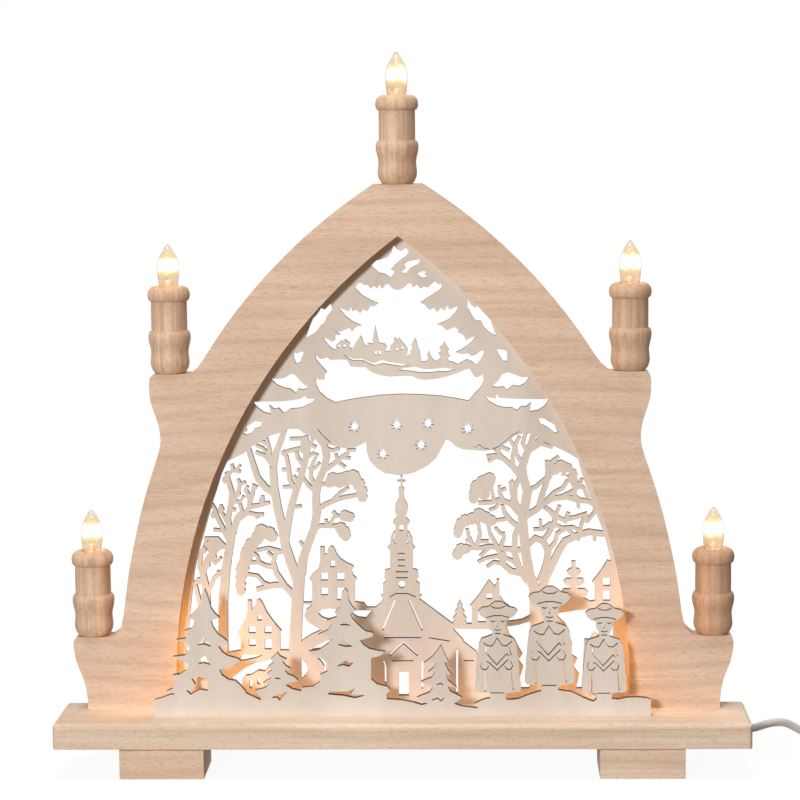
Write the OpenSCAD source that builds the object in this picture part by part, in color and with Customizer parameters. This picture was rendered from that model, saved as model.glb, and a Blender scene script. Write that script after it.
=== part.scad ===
// Lit candle arch of beech and plywood, standing on two feet.
// X runs to the right, the front faces -Y and Z points up from the table.

/* [Base] */
// Width of the base board
base_w = 435; // [430:1:480]
// Depth of the base board
base_d = 55; // [54:1:70]
// Thickness of the base board
base_t = 16; // [14:0.5:22]
// Rounding of the board's front top edge
base_round = 3.5; // [1:0.5:6]
// Rounding of the board's corners
base_corner = 2.5; // [1:0.5:5]
// Width of one foot
foot_w = 53; // [45:1:60]
// Depth of one foot
foot_d = 42; // [36:1:46]
// Height of one foot
foot_h = 20.4; // [16:0.2:30]
// Distance of a foot's middle from the board's end
foot_inset = 67.3; // [60:0.1:80]
// Set-back of the feet behind the board's front
foot_set = 5; // [3:0.5:8]

/* [Arch] */
// Width of the arch where it stands on the base
arch_w = 402; // [390:1:415]
// Height of the arch above the base
arch_h = 332.3; // [325:0.1:345]
// Thickness of the arch board
arch_t = 16.5; // [15:0.5:20]
// Width of the flat top
top_w = 30.7; // [29:0.1:36]
// Bow of the outer edge between the top and the upper perch
outer_bulge = 8.5; // [2:0.5:12]
// Reach of the upper perches from the middle
perch_high_x = 153.2; // [151:0.1:156]
// Height of the upper perches above the base
perch_high_z = 214.9; // [210:0.1:220]
// Reach of the lower perches from the middle
perch_low_x = 206.8; // [203:0.1:212]
// Height of the lower perches above the base
perch_low_z = 46.8; // [44:0.1:56]
// Length of each perch
perch_w = 22; // [20:0.5:24]
// Hollow where a perch runs into the arch
perch_fillet = 8.5; // [5:0.5:11]
// Width of the opening at the base
opening_w = 287; // [280:1:294]
// Height of the opening
opening_h = 300.4; // [294:0.1:306]
// Bow of the opening's sides
opening_bulge = 41.7; // [36:0.1:46]
// Width of the rebate round the back of the opening
rebate_w = 5; // [4:0.5:6]
// Depth of the rebate
rebate_d = 5; // [4.6:0.2:6]

/* [Panels] */
// Thickness of the fretwork plywood
panel_t = 4; // [3:0.5:4.5]
// Distance of the front panel's face behind the board's front
panel_set = 20; // [17:0.5:22]
// Width of the front panel
front_panel_w = 312.4; // [300:0.2:322]
// Depth of the groove that holds the front panel
panel_groove = 3; // [2:0.5:5]
// Clearance round each panel
panel_gap = 0.2; // [0.1:0.05:0.4]
// Half of the width that the laser burns away
kerf = 0.05; // [0.02:0.01:0.1]

/* [Candles] */
// Height of a candle above its perch
candle_h = 55; // [50:1:62]
// Diameter of a candle's cup and collar
cup_d = 26.5; // [25:0.1:28]
// Height of the cup
cup_h = 26.8; // [24:0.1:30]
// Diameter of the shaft
shaft_d = 22.7; // [21:0.1:24]
// Height of the collar
collar_h = 9; // [7:0.5:11]
// Diameter of the candle's foot
seat_d = 18.5; // [17:0.1:20]
// Distance of the upper candles from the middle
high_candle_x = 144.5; // [143:0.1:145]
// Distance of the lower candles from the middle
low_candle_x = 197; // [195:0.1:198]
// Diameter of the spigot that glues into the perch
spigot_d = 10; // [9:0.5:11]
// Length of the spigot
spigot_h = 8; // [6:0.5:10]
// Diameter of the bores and grooves for wire
wire_bore_d = 6; // [5:0.5:6.5]

/* [Lamps] */
// Diameter of the glass
glass_d = 14.3; // [13:0.1:15]
// Height of the glass above its socket
glass_h = 26.7; // [24:0.1:32]
// Thickness of the glass
glass_wall = 0.7; // [0.5:0.1:0.9]
// Diameter of the screw cap
cap_d = 9.6; // [9.4:0.1:9.8]
// Length of the screw cap
cap_h = 10; // [9:0.5:11]
// Depth of the cap's top below the candle's top
cap_drop = 5; // [4:0.5:6]
// Wall of the screw cap
cap_wall = 0.35; // [0.25:0.05:0.5]
// Radial clearance of the screw thread
thread_fit = 0.08; // [0.04:0.01:0.1]
// Diameter of the contact under the cap
contact_d = 4; // [3.5:0.1:4.4]
// Diameter of the socket sleeve
sleeve_d = 14; // [13.4:0.1:14.6]
// Length of the socket sleeve
sleeve_h = 23.5; // [22:0.5:26]
// Depth of the sleeve's rim below the candle's top
sleeve_drop = 1.5; // [1:0.5:2]
// Distance of the lamps inside the arch from the middle
inner_lamp_x = 122; // [118:0.5:124]
// Distance of the inner lamps behind the board's front
inner_lamp_set = 37; // [36:0.5:38]
// Height of an inner lampholder
holder_h = 24; // [23:0.5:28]
// Diameter of an inner lampholder
holder_d = 16; // [15.5:0.5:18]
// Diameter of a lampholder's flange
flange_d = 24; // [23:0.5:25]
// Thickness of the flange
flange_t = 3; // [2:0.5:4]

/* [Wiring] */
// Diameter of the wire inside the arch
wire_d = 3; // [2.5:0.1:3.4]
// Width of the channel under the base
channel_w = 8; // [7:0.5:9]
// Depth of the channel under the base
channel_h = 6; // [5.8:0.2:7]
// Diameter of the mains lead
cord_d = 5.2; // [5:0.1:5.4]
// Width of the plug
plug_w = 35.3; // [33:0.1:37]
// Length of the plug's body
plug_l = 30; // [26:0.5:36]
// Thickness of the plug
plug_t = 14; // [13:0.2:16]
// Diameter of a plug pin
pin_d = 4; // [3.9:0.01:4.1]
// Length of a plug pin
pin_l = 19; // [18.5:0.1:19.5]
// Distance between the plug pins
pin_gap = 19; // [18.5:0.1:19.5]

/* [Fixings] */
// Length of the long wood screws
screw_l = 30; // [26:1:34]
// Diameter of the long screws' shank
screw_d = 3.5; // [3:0.5:4]
// Diameter of the long screws' head
screw_head_d = 7; // [6:0.5:8]
// Length of the small screws
small_screw_l = 8; // [6:0.5:9]
// Diameter of the small screws
small_screw_d = 2.2; // [2:0.1:2.6]
// Length of the panel pins
brad_l = 10; // [8:0.5:12]
// Diameter of the panel pins
brad_d = 1.2; // [1:0.1:1.4]

/* [Hidden] */

// Overrun that carries every cut clear of a face
cut = 0.5;
// Clearance of a glued or seated round joint
seat = 0.05;
// Gap of a part that lies loose in its place
loose = 0.3;

arch_mid_set = base_d - arch_t / 2;
front_y = -(arch_mid_set + cup_d / 2) / 2;
back_y = front_y + base_d;
mid_y = front_y + arch_mid_set;
base_z = foot_h;
foot_x = base_w / 2 - foot_inset;
top_z = foot_h + base_t;
lamp_y = front_y + inner_lamp_set;
panel_y = front_y + panel_set;
groove_depth = arch_t / 2 + wire_bore_d / 2;
cord_z = base_z + channel_h - cord_d / 2 - loose;

// Places of the candles: distance from the middle and height of the perch
top_spot = [0, mid_y, top_z + arch_h];
high_spot = [high_candle_x, mid_y, top_z + perch_high_z];
low_spot = [low_candle_x, mid_y, top_z + perch_low_z];
inner_spot = [inner_lamp_x, lamp_y, top_z + holder_h - candle_h];
function left(p) = [-p[0], p[1], p[2]];

function flip(points) = [for (p = points) [-p[0], p[1]]];
function backwards(list) = [for (i = [len(list) - 1 : -1 : 0]) list[i]];
function mirrored(half) = concat(half, flip(backwards(half)));
function sized(shares, w, h) = [for (p = shares) [p[0] * w, p[1] * h]];
function between(a, b, shares) =
    [for (p = shares) [a[0] + (b[0] - a[0]) * p[0], a[1] + (b[1] - a[1]) * p[1]]];

// Curve through chosen points
function spline_at(a, b, c, d, t) =
    (2 * b + (c - a) * t + (2 * a - 5 * b + 4 * c - d) * t * t
    + (3 * b - a - 3 * c + d) * t * t * t) / 2;
function smooth(points, steps) = let (last = len(points) - 1) concat(
    [for (i = [0 : last - 1]) for (k = [0 : steps - 1])
        spline_at(points[max(i - 1, 0)], points[i], points[i + 1], points[min(i + 2, last)], k / steps)],
    [points[last]]);

// Arc from a to b that bows to the left of the way
function bowed(a, b, bulge, steps) =
    let (way = b - a, half = norm(way) / 2, side = [-way[1], way[0]] / norm(way))
    let (radius = (half * half + bulge * bulge) / (2 * bulge))
    let (hub = (a + b) / 2 + side * (bulge - radius))
    let (from = atan2(a[1] - hub[1], a[0] - hub[0]), to = atan2(b[1] - hub[1], b[0] - hub[0]))
    [for (k = [0 : steps]) hub + radius * [cos(from + (to - from) * k / steps), sin(from + (to - from) * k / steps)]];

// Line of changing width through the points, with mitred bends
module stroke(points, from_w, to_w) {
    last = len(points) - 1;
    ways = [for (i = [0 : last - 1]) (points[i + 1] - points[i]) / norm(points[i + 1] - points[i])];
    sides = [for (i = [0 : last])
        let (sum = (ways[max(i - 1, 0)] + ways[min(i, last - 1)]) / 2, reach = max(norm(sum), 0.6))
        [-sum[1], sum[0]] / norm(sum) / reach * (from_w + (to_w - from_w) * i / last) / 2];
    for (i = [0 : last - 1])
        polygon([points[i] + sides[i], points[i + 1] + sides[i + 1], points[i + 1] - sides[i + 1], points[i] - sides[i]]);
}

// Stands a drawing up, with its back at the given depth
module upright(at_y, t) {
    translate([0, at_y, top_z]) rotate([90, 0, 0]) linear_extrude(t) children();
}

// Outline of the arch

high_inner = [perch_high_x - perch_w, perch_high_z];
low_inner = [perch_low_x - perch_w, perch_low_z];
fillet_share = [[-0.95, 1], [-0.5, 0.42], [0, 0]];
waist_share = [
    [0, 0], [0.085, 0.008], [0.12, 0.03], [0.104, 0.1], [-0.04, 0.188], [-0.079, 0.25], [-0.03, 0.298],
    [0.08, 0.36], [0.247, 0.457], [0.408, 0.568], [0.617, 0.748], [0.75, 0.918], [0.835, 0.972], [1, 1]
];
ankle_share = [[0, 0], [-0.3, 0.03], [-0.43, 0.12], [-0.12, 0.344], [0.67, 0.611], [0.97, 0.84], [1, 1]];
high_fillet = [for (p = fillet_share) high_inner + p * perch_fillet];
arch_half = concat(
    bowed([top_w / 2, arch_h], high_fillet[0], outer_bulge, 14),
    [high_fillet[1], high_fillet[2]],
    smooth(between([perch_high_x, perch_high_z], low_inner, waist_share), 3),
    smooth(between([perch_low_x, perch_low_z], [arch_w / 2, 0], ankle_share), 3)
);
opening_half = bowed([0, opening_h], [opening_w / 2, 0], opening_bulge, 28);

module opening_shape() {
    polygon(mirrored(opening_half));
}

// The opening widened by a margin, down to the base
module rebate_shape(margin) {
    intersection() {
        offset(delta = margin) opening_shape();
        translate([-arch_w / 2, 0]) square([arch_w, arch_h]);
    }
}

// Wire path up one side of the arch, in shares of its half width and height

wire_share = [
    [0.856, 0], [0.856, 0.09], [0.806, 0.18], [0.766, 0.3], [0.706, 0.42], [0.637, 0.517],
    [0.587, 0.578], [0.488, 0.68], [0.348, 0.788], [0.209, 0.873], [0.09, 0.94], [0, 0.957]
];
wire_path = sized(wire_share, arch_w / 2, arch_h);
low_branch = wire_path[1];
high_branch = wire_path[6];
crown = wire_path[11];
leg_x = wire_path[0][0];

module wire_drawing(w) {
    for (s = [1, -1]) scale([s, 1]) {
        stroke(wire_path, w, w);
        stroke([low_branch, [low_candle_x, low_branch[1]]], w, w);
        stroke([high_branch, [high_candle_x, high_branch[1]]], w, w);
    }
}

// Base

module base_board() {
    color("burlywood") difference() {
        intersection() {
            translate([0, 0, base_z]) linear_extrude(base_t) board_plan();
            translate([-base_w / 2, 0, 0]) rotate([90, 0, 90]) linear_extrude(base_w) board_side();
            translate([0, back_y + cut, 0]) rotate([90, 0, 0]) linear_extrude(base_d + 2 * cut) board_face();
        }
        channels();
        translate([-front_panel_w / 2 - panel_gap, panel_y - panel_gap, top_z - panel_groove])
            cube([front_panel_w + 2 * panel_gap, panel_t + 2 * panel_gap, panel_groove + cut]);
        for (s = [1, -1]) {
            translate([s * leg_x, mid_y, base_z - cut]) cylinder(d = wire_bore_d, h = base_t + 2 * cut, $fn = 16);
            translate([s * inner_lamp_x, lamp_y, base_z - cut])
                cylinder(d = wire_bore_d, h = base_t + 2 * cut, $fn = 16);
        }
        long_screw_places() screw_hole();
        holder_screw_places() small_hole();
        clamp_screw_places() small_hole();
    }
}

module board_plan() {
    inset = 2 * base_corner;
    translate([0, front_y + base_d / 2]) union() {
        square([base_w - inset, base_d], center = true);
        square([base_w, base_d - inset], center = true);
        for (sx = [1, -1]) for (sy = [1, -1])
            translate([sx * (base_w / 2 - base_corner), sy * (base_d / 2 - base_corner)])
                circle(r = base_corner, $fn = 24);
    }
}

module board_side() {
    translate([front_y, base_z]) union() {
        square([base_d, base_t - base_round]);
        translate([base_round, 0]) square([base_d - base_round, base_t]);
        translate([base_round, base_t - base_round]) circle(r = base_round, $fn = 16);
    }
}

module board_face() {
    translate([-base_w / 2, base_z]) union() {
        square([base_w, base_t - base_corner]);
        translate([base_corner, 0]) square([base_w - 2 * base_corner, base_t]);
        for (x = [base_corner, base_w - base_corner])
            translate([x, base_t - base_corner]) circle(r = base_corner, $fn = 24);
    }
}

// Channels for the wire in the underside
module channels() {
    far = leg_x + channel_w / 2;
    translate([-far, lamp_y - channel_w / 2, base_z - cut])
        cube([far + base_w / 2 + cut, channel_w, channel_h + cut]);
    for (s = [1, -1])
        translate([s * leg_x - channel_w / 2, lamp_y - channel_w / 2, base_z - cut])
            cube([channel_w, mid_y - lamp_y + channel_w, channel_h + cut]);
}

module foot(s) {
    color("tan") difference() {
        translate([s * foot_x - foot_w / 2, front_y + foot_set, 0]) cube([foot_w, foot_d, foot_h]);
        long_screw_places() screw_hole();
    }
}

// Arch

module arch_frame() {
    color("burlywood") difference() {
        upright(back_y, arch_t) difference() {
            polygon(mirrored(arch_half));
            opening_shape();
        }
        upright(back_y + cut, rebate_d + cut) difference() {
            rebate_shape(rebate_w);
            opening_shape();
        }
        upright(back_y + cut, groove_depth + cut) offset(delta = kerf) wire_drawing(wire_bore_d);
        for (spot = candle_spots()) spot_bores(spot);
        long_screw_places() screw_hole();
        brad_places() brad_hole();
    }
}

function candle_spots() = [top_spot, high_spot, low_spot, left(high_spot), left(low_spot)];
// Height of the wire that a candle's bore meets
function branch_z(spot) = top_z + (
    spot[0] == 0 ? crown[1] : abs(spot[0]) == high_candle_x ? high_branch[1] : low_branch[1]);

module spot_bores(spot) {
    translate([spot[0], spot[1], spot[2] - spigot_h - loose])
        cylinder(d = spigot_d + 2 * seat, h = spigot_h + loose + cut, $fn = 20);
    translate([spot[0], spot[1], branch_z(spot)])
        cylinder(d = wire_bore_d, h = spot[2] - branch_z(spot), $fn = 16);
}

// Fretwork: drafted on a grid of columns to the right and rows downwards

// Rows from the base to the tip of the opening on the back panel's grid
back_rows = 472;
// Columns across the front panel on its grid
front_columns = 493.5;
back_grid = opening_h / back_rows;
front_grid = front_panel_w / front_columns;
// Column of the middle and row of the base on each grid
back_origin_px = [403.4, 705.9];
front_origin_px = [402.1, 716.2];
// Sideways lean of the columns, and upward stretch of the back panel's rows
lean_share = 0.0102;
back_stretch = 1.0045;
// Width of a cut line on the grid
slot_px = 0.9;

module on_grid(origin, grid, stretch = 1) {
    multmatrix([
        [grid, -lean_share * grid, 0, (lean_share * origin[1] - origin[0]) * grid],
        [0, -grid * stretch, 0, origin[1] * grid * stretch],
        [0, 0, 1, 0],
        [0, 0, 0, 1]
    ]) children();
}

module slots(lines, w = slot_px) {
    for (line = lines) stroke(line, w, w);
}

module boxes(list) {
    for (b = list) translate([b[0], b[1]]) square([b[2] - b[0], b[3] - b[1]]);
}

module star(place, r) {
    points = [for (i = [0 : 15]) place + r * (i % 2 == 0 ? 1 : 0.45) * [cos(i * 22.5 + 8), sin(i * 22.5 + 8)]];
    polygon(points);
}

// Each limb is its two widths and the points that it passes
limb_swell_px = 1.4;
module limbs(list) {
    for (limb = list) stroke(limb[2], limb[0] + limb_swell_px, limb[1] + limb_swell_px);
}

// Each leaf is a place and a radius
leaf_swell_px = 1.6;
module leaves(list) {
    for (leaf = list) translate([leaf[0], leaf[1]]) circle(r = leaf[2] + leaf_swell_px, $fn = 8);
}

// Cut-outs among the fir boughs at the top
bough_cuts_px = [
    [[372, 266], [377, 261], [382, 260], [388, 258], [392, 253], [394, 246.5], [397, 250], [401, 252], [406, 249],
     [409, 252], [406, 257], [400, 261], [394, 266], [391, 270], [395, 272], [391, 278], [385, 274], [380, 273], [376, 270]],
    [[404, 265], [409, 262], [414, 261], [420, 260], [418, 265], [413, 267], [409, 270], [406, 274], [401, 273], [406, 269]],
    [[417, 275], [421, 272], [426, 272], [424, 275], [428, 277], [422, 278.5]],
    [[307, 337], [310, 328], [314, 318], [318, 314], [321, 310], [322, 307], [326, 309], [329, 306], [332, 303],
     [333, 309], [328, 315], [325, 322], [321, 325], [317, 331], [312, 334]],
    [[467, 300], [470, 305], [474, 308], [477, 306], [480, 309], [486, 315], [490, 321], [492, 328], [495, 336],
     [489, 333], [483, 327], [480, 321], [475, 321], [471, 315], [467, 308]],
    [[295, 351], [299, 352], [302, 350], [305, 351], [303, 355], [301, 361], [297, 362], [295, 357]],
    [[495, 350], [499, 349], [503, 350], [506, 352], [506, 361], [502, 361], [499, 356]],
    [[272, 377], [280, 377], [286, 376], [293, 372], [297, 374], [300, 378], [304, 382], [310, 386], [304, 388],
     [299, 387], [296, 391], [291, 387], [285, 386], [278, 383]],
    [[528, 377], [520, 377], [513, 374], [507, 372], [501, 374], [498, 380], [491, 386], [497, 387], [503, 386],
     [506, 390], [512, 385], [518, 386], [524, 383]],
    [[254, 400], [262, 399.5], [284, 399.5], [296, 398], [302, 397], [306, 394], [308, 397], [317, 397], [311, 402],
     [302, 406], [291, 407], [287, 410], [284, 411], [280, 406], [275, 407], [270, 403], [272, 412], [264, 410], [258, 405]],
    [[548, 399], [520, 398.5], [508, 398], [498, 397], [496, 393], [495, 398], [484, 396], [489, 401], [496, 405],
     [503, 407], [511, 407], [516, 410], [520, 406], [525, 406], [530, 402], [529, 411], [537, 410], [543, 406]],
    [[263, 420], [256, 419], [252, 422], [247, 425], [248, 429], [244, 431], [247, 433], [252, 431], [255, 427], [261, 425]],
    [[537, 418], [543, 418], [547, 421], [553, 424], [555, 430], [558, 431], [554, 433], [549, 429], [545, 426], [540, 424]]
];

// Window in the shape of a fir, down to the village in its foot
fir_window_px = [
    [356, 288], [358, 284], [362, 282.5], [364, 285], [368, 285], [372, 289], [374, 286], [378, 288.5], [380, 285],
    [383, 289], [386, 285], [389, 284], [392, 288], [396, 290], [400, 290], [404, 288], [408, 284], [411, 284],
    [413, 288], [417, 285], [420, 289], [424, 287], [428, 288], [431, 285], [435, 282], [438, 285], [441, 284],
    [441, 289], [435, 293], [427, 298], [420, 302.5], [425, 305], [429, 310], [433, 308], [437, 312], [441, 308],
    [444, 311], [447, 306], [449, 310], [453, 308], [457.5, 306.5], [455, 312], [449, 319], [443, 322], [437, 324],
    [442, 326], [446, 330], [450, 329], [454, 327], [458, 330], [463, 328], [457, 332], [463, 335], [465, 340],
    [470, 338], [475, 336], [471, 342], [463, 348], [455, 352], [462, 354], [467, 353], [471, 356], [476, 354],
    [481, 350], [484, 352], [481, 358], [476, 365], [471, 361], [466, 359], [461, 362], [457, 364], [452, 361],
    [449, 361], [446, 357], [450, 356.5], [447, 351], [449, 350], [446, 345], [444, 341], [442, 345], [439, 347],
    [441, 351], [438, 353], [441, 357], [436, 361], [432, 358], [430, 354], [429, 350], [427, 354], [428, 358],
    [426, 361], [421, 361], [420, 351], [418, 347], [417, 342], [415, 337], [413, 341], [411, 345], [413, 347],
    [410, 351], [412, 352], [407, 357], [408, 349], [404, 343], [399, 337], [397, 340], [396, 337], [394, 338],
    [394, 342], [390, 346], [391, 350], [386, 351], [387, 346], [385, 343], [379, 342], [379, 339], [377, 332],
    [376, 324.5], [374, 332], [373, 339], [374, 343], [368, 342], [367, 346], [364, 342], [363, 338], [361, 334.5],
    [359, 338], [356, 342], [353, 348], [350, 346], [351, 342], [349, 341], [346, 338], [344, 340], [341, 340],
    [337, 344], [336, 349], [331, 346], [326, 340], [324, 336.5], [329, 338], [333, 341], [336, 339], [336, 334],
    [341, 334], [336, 329], [341, 331], [346, 329], [350, 327], [353, 331], [356, 327], [362, 324.5], [354, 321],
    [347, 316], [341, 309], [341, 307], [345, 309], [350, 311], [352, 306], [353, 311], [357, 309], [361, 313],
    [364, 309], [368, 311], [371, 306], [375, 306], [379, 303], [372, 300], [363, 295]
];
village_cuts_px = [
    [338.5, 343.5, 341, 346.5], [344, 343.5, 346.5, 346.5], [396, 347, 398.5, 350], [401, 346, 403.5, 349],
    [375, 350, 377.5, 354], [379, 350, 381.5, 354]
];
path_cuts_px = [
    [[344, 353], [349, 356], [355, 358], [362, 357.5], [368, 360], [375, 362], [382, 359], [390, 361], [400, 362.5],
     [410, 364], [401, 365.5], [392, 364], [383, 362.5], [375, 364.5], [370, 362.5], [363, 359.5], [354, 359.5], [349, 357.5]],
    [[398, 369], [406, 367], [416, 366], [425, 368.5], [435, 368], [444, 367], [455, 369], [447, 371], [437, 371],
     [428, 372], [418, 371.5], [408, 370]],
    [[316, 352], [319, 356], [323, 358], [328, 356], [332, 359], [340, 358], [348, 359], [351, 365], [358, 366],
     [366, 366], [372, 371], [380, 374], [390, 375.5], [400, 375], [412, 375], [418, 378], [425, 379], [436, 378],
     [446, 376], [456, 373], [464, 369.5], [469, 368], [471, 372], [475, 377], [479, 376], [482, 374], [483, 380],
     [480, 387], [474, 393], [468, 400], [455, 397.5], [440, 395], [420, 393.5], [400, 393], [380, 394], [360, 396.5],
     [345, 399], [336, 401], [328, 397], [320, 390], [317, 383], [317, 376], [320, 378], [325, 378], [325, 374],
     [328, 371], [322, 364], [317, 358]]
];
stars_px = [[355, 425.5], [397, 424], [428, 422.5], [467.5, 428], [383, 453], [421, 444]];
star_px = 6.4;
cloud_slots_px = [
    [[318.5, 427], [324, 434], [331, 440.5]],
    [[475, 446], [478, 442.5], [484, 447], [490, 448.5], [497, 446], [503, 441], [510, 435], [518, 430.5]]
];

// Open sky round the trees and the church
sky_px = [
    [245, 451], [252, 445], [262, 439], [270, 434], [280, 431], [290, 427], [299, 427], [304, 431], [316, 437],
    [330, 443], [344, 446.5], [356, 445.5], [366.5, 440.5], [367, 450], [370, 459], [377, 467], [386, 472],
    [400, 474], [414, 471.5], [427, 465], [436, 457], [441, 448], [446, 438.5], [450, 440], [455, 445],
    [463, 448.5], [472, 449], [484, 450], [496, 448], [506, 442], [514, 435], [522, 433], [530, 433], [541, 439],
    [551, 445], [560, 449], [568, 453], [577, 459], [579, 467], [583, 480], [588, 494], [593, 508], [598, 520],
    [603, 533], [607, 548], [610, 560], [613, 580], [615.5, 600], [619, 640], [620, 690], [184, 690], [185, 650],
    [189, 610], [194, 570], [199, 548], [205, 528], [212, 503], [218, 485], [222, 472], [228, 459]
];

// Hills behind the houses, and what is cut from them
land_px = [
    [180, 710], [183, 655], [205, 650], [226, 653], [240, 650.5], [289, 650.5], [292, 602], [312, 601.5], [356, 601.5],
    [364, 602.5], [367, 607], [376, 607], [384, 600], [420, 599], [453, 624], [500, 624], [508, 622], [522, 620],
    [530, 616], [552, 612], [558, 603], [575, 604], [595, 601], [620, 599], [625, 710]
];
land_cuts_px = [
    [[302, 603], [312, 605], [306, 609], [304, 615], [307, 621], [314, 626], [321, 630], [312, 634], [304, 639], [299, 643]],
    [[318, 613], [322, 609], [330, 608], [337, 609], [340, 612], [338, 616], [332, 618], [328, 619], [322, 617]],
    [[350, 610], [372, 610], [370, 613], [366, 618], [358, 617], [353, 614]],
    [[311, 650], [318, 645], [326, 641], [332, 640], [329, 645], [321, 649]],
    [[299, 654], [302, 660], [306, 665], [308, 670], [305, 676], [301, 680], [299, 674]],
    [[317, 659], [321, 656], [324, 659], [328, 662], [330, 666], [327, 672], [323, 674], [324, 667], [320, 661]],
    [[362, 661], [371, 664], [372, 674], [366, 670]],
    [[230, 679], [237, 674], [245, 668], [255, 663], [265, 661], [272, 659], [276, 660], [271, 665], [264, 672],
     [257, 671], [253, 674], [249, 676], [245, 676], [241, 681], [241, 692], [236, 690]],
    [[241, 655], [252, 655], [262, 655.5], [255, 658.5], [245, 660.5], [236, 662], [230, 666], [233, 661], [240, 659]],
    [[200, 657], [207, 653], [213, 664], [201, 665]],
    [[453, 629], [489, 629.5], [497, 634], [492, 646], [486, 655], [476, 655], [461, 644], [464, 641]],
    [[507, 627], [518, 625.5], [530, 622], [535, 640], [530, 690], [522, 690], [519, 684], [524, 668], [519, 661],
     [523, 655], [518, 646], [515, 640], [510, 636], [508, 630]],
    [[555, 614], [575, 611], [597, 609], [612, 609], [614, 640], [600, 642], [585, 640], [583, 690], [577, 690],
     [580, 676], [574, 668], [578, 660], [571, 655], [573, 645], [566, 625]],
    [[248, 681], [251, 681], [251, 690], [248, 688]], [[256, 679], [259, 679], [259, 686], [256, 684]],
    [[264, 684], [268, 684], [266, 689], [264, 689]], [[256, 690], [261, 690], [259, 694], [256, 693]]
];

house_a_px = [
    [247, 599.5], [251, 599.5], [251.5, 609], [254, 606], [256, 600], [259, 598], [262, 602], [266, 611], [272, 620],
    [281, 631], [279.5, 635], [279.5, 652], [240, 652], [240, 638], [236.5, 633], [240, 627], [245, 618], [247, 610]
];
house_b_px = [
    [320, 545.5], [324.5, 545.5], [325, 553], [327, 553], [328, 548], [331, 544.5], [334, 546], [337, 553], [341, 558],
    [347, 562], [352, 564], [354, 566], [352, 570], [353, 574], [357, 578], [355, 582], [355, 603], [312, 603],
    [312, 581], [309, 578], [312, 574], [318, 568], [320, 560]
];
house_c_px = [
    [470, 606], [479, 595], [489, 579.5], [494.5, 586], [496.5, 584], [496.5, 579], [499.5, 579], [500, 596], [505, 603],
    [513, 609], [509, 611], [509, 626], [472, 626], [472, 606]
];
house_d_px = [
    [592, 582], [599, 573], [607, 560], [622, 566], [622, 604], [595, 604], [595, 584]
];
house_cuts_px = [
    [257, 615, 261.5, 620], [248, 626, 255, 633], [264, 626, 271, 633], [248, 639, 255, 646], [264, 639, 271, 649.5],
    [330.5, 559.5, 335, 566], [321, 572, 328, 579.5], [337, 572, 344.5, 579.5], [321, 587, 328, 594.5], [337, 587, 344, 599.5],
    [487, 593.5, 492.5, 599], [478.5, 612, 486, 622.5], [603, 578, 610, 586], [603, 591, 610, 601]
];

// Half of the church tower, from the ball down to the roof
tower_px = [
    [0.8, 485], [2.6, 487], [3.2, 490], [2.4, 493], [3, 498], [6, 503], [6.8, 508], [5.4, 513], [4.2, 516], [8.3, 520],
    [8.3, 522.5], [6, 524], [6, 530], [8, 531], [11, 537], [11.5, 544], [14, 547], [11.5, 549.5], [11.5, 568],
    [16.5, 569.5], [17.2, 577], [14.5, 580], [18.5, 583.5], [18.5, 594], [20.5, 595.5], [18, 599], [24, 607], [34, 617],
    [46, 628], [58, 639], [76, 653], [76, 710]
];
tower_axis_px = 401.5;
cross_px = [[400.6, 474.5, 402.4, 487], [397.5, 479, 405.5, 481]];
church_cuts_px = [[399.5, 524, 403.5, 529.5], [399, 673, 409, 697]];
church_slots_px = [
    [[398, 552.5], [405, 552.5]], [[398, 559], [405, 559]], [[398, 565], [405, 565]],
    [[396, 571], [408, 571]], [[396, 577], [408, 577]], [[390, 596.5], [396, 593], [408, 593], [416, 596.5]],
    [[395.5, 533], [393.5, 538], [396, 543]], [[407.5, 533], [409.5, 538], [407, 543]],
    [[429, 638], [450, 641.5]], [[392, 661.5], [414, 661.5]], [[464, 661.5], [474, 661.5]]
];
church_wide_slots_px = [
    [[395.5, 600], [383, 630]], [[409.5, 600], [422.5, 630]], [[384, 637.3], [421, 637.3]], [[390, 656], [403.5, 643], [418, 656]],
    [[383.5, 662], [385.5, 668], [385.5, 684]], [[422.5, 662], [422.5, 690]], [[457.5, 651], [457.5, 695]]
];

// Round opening in the tower
clock_px = [402, 584];
clock_r_px = 3.6;

// Small firs on the skyline
small_firs_px = [
    [[460, 600], [463, 606], [461.5, 607], [465, 612], [463, 613.5], [467, 618.5], [465, 620], [468, 625],
     [452, 625], [455, 620], [453, 618.5], [457, 613.5], [455, 612], [458.5, 607], [457, 606]],
    [[571, 561], [575.5, 561], [575.5, 568], [579, 569], [581, 571.5], [580, 574.5], [576.5, 576], [577, 578.5],
     [583, 578.5], [584.5, 582], [582, 585], [577.5, 586.5], [578, 589], [585, 589], [588, 592], [587, 596], [583, 598],
     [589, 601], [589, 604], [561, 604], [560, 600.5], [566, 598.5], [562, 596], [561.5, 592], [564, 589], [570, 589],
     [570, 586.5], [565, 584.5], [563.5, 581.5], [566, 578.5], [571, 578.5], [571, 576], [567.5, 574.5], [566.5, 571.5],
     [569, 569], [571.5, 568]]
];

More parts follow.
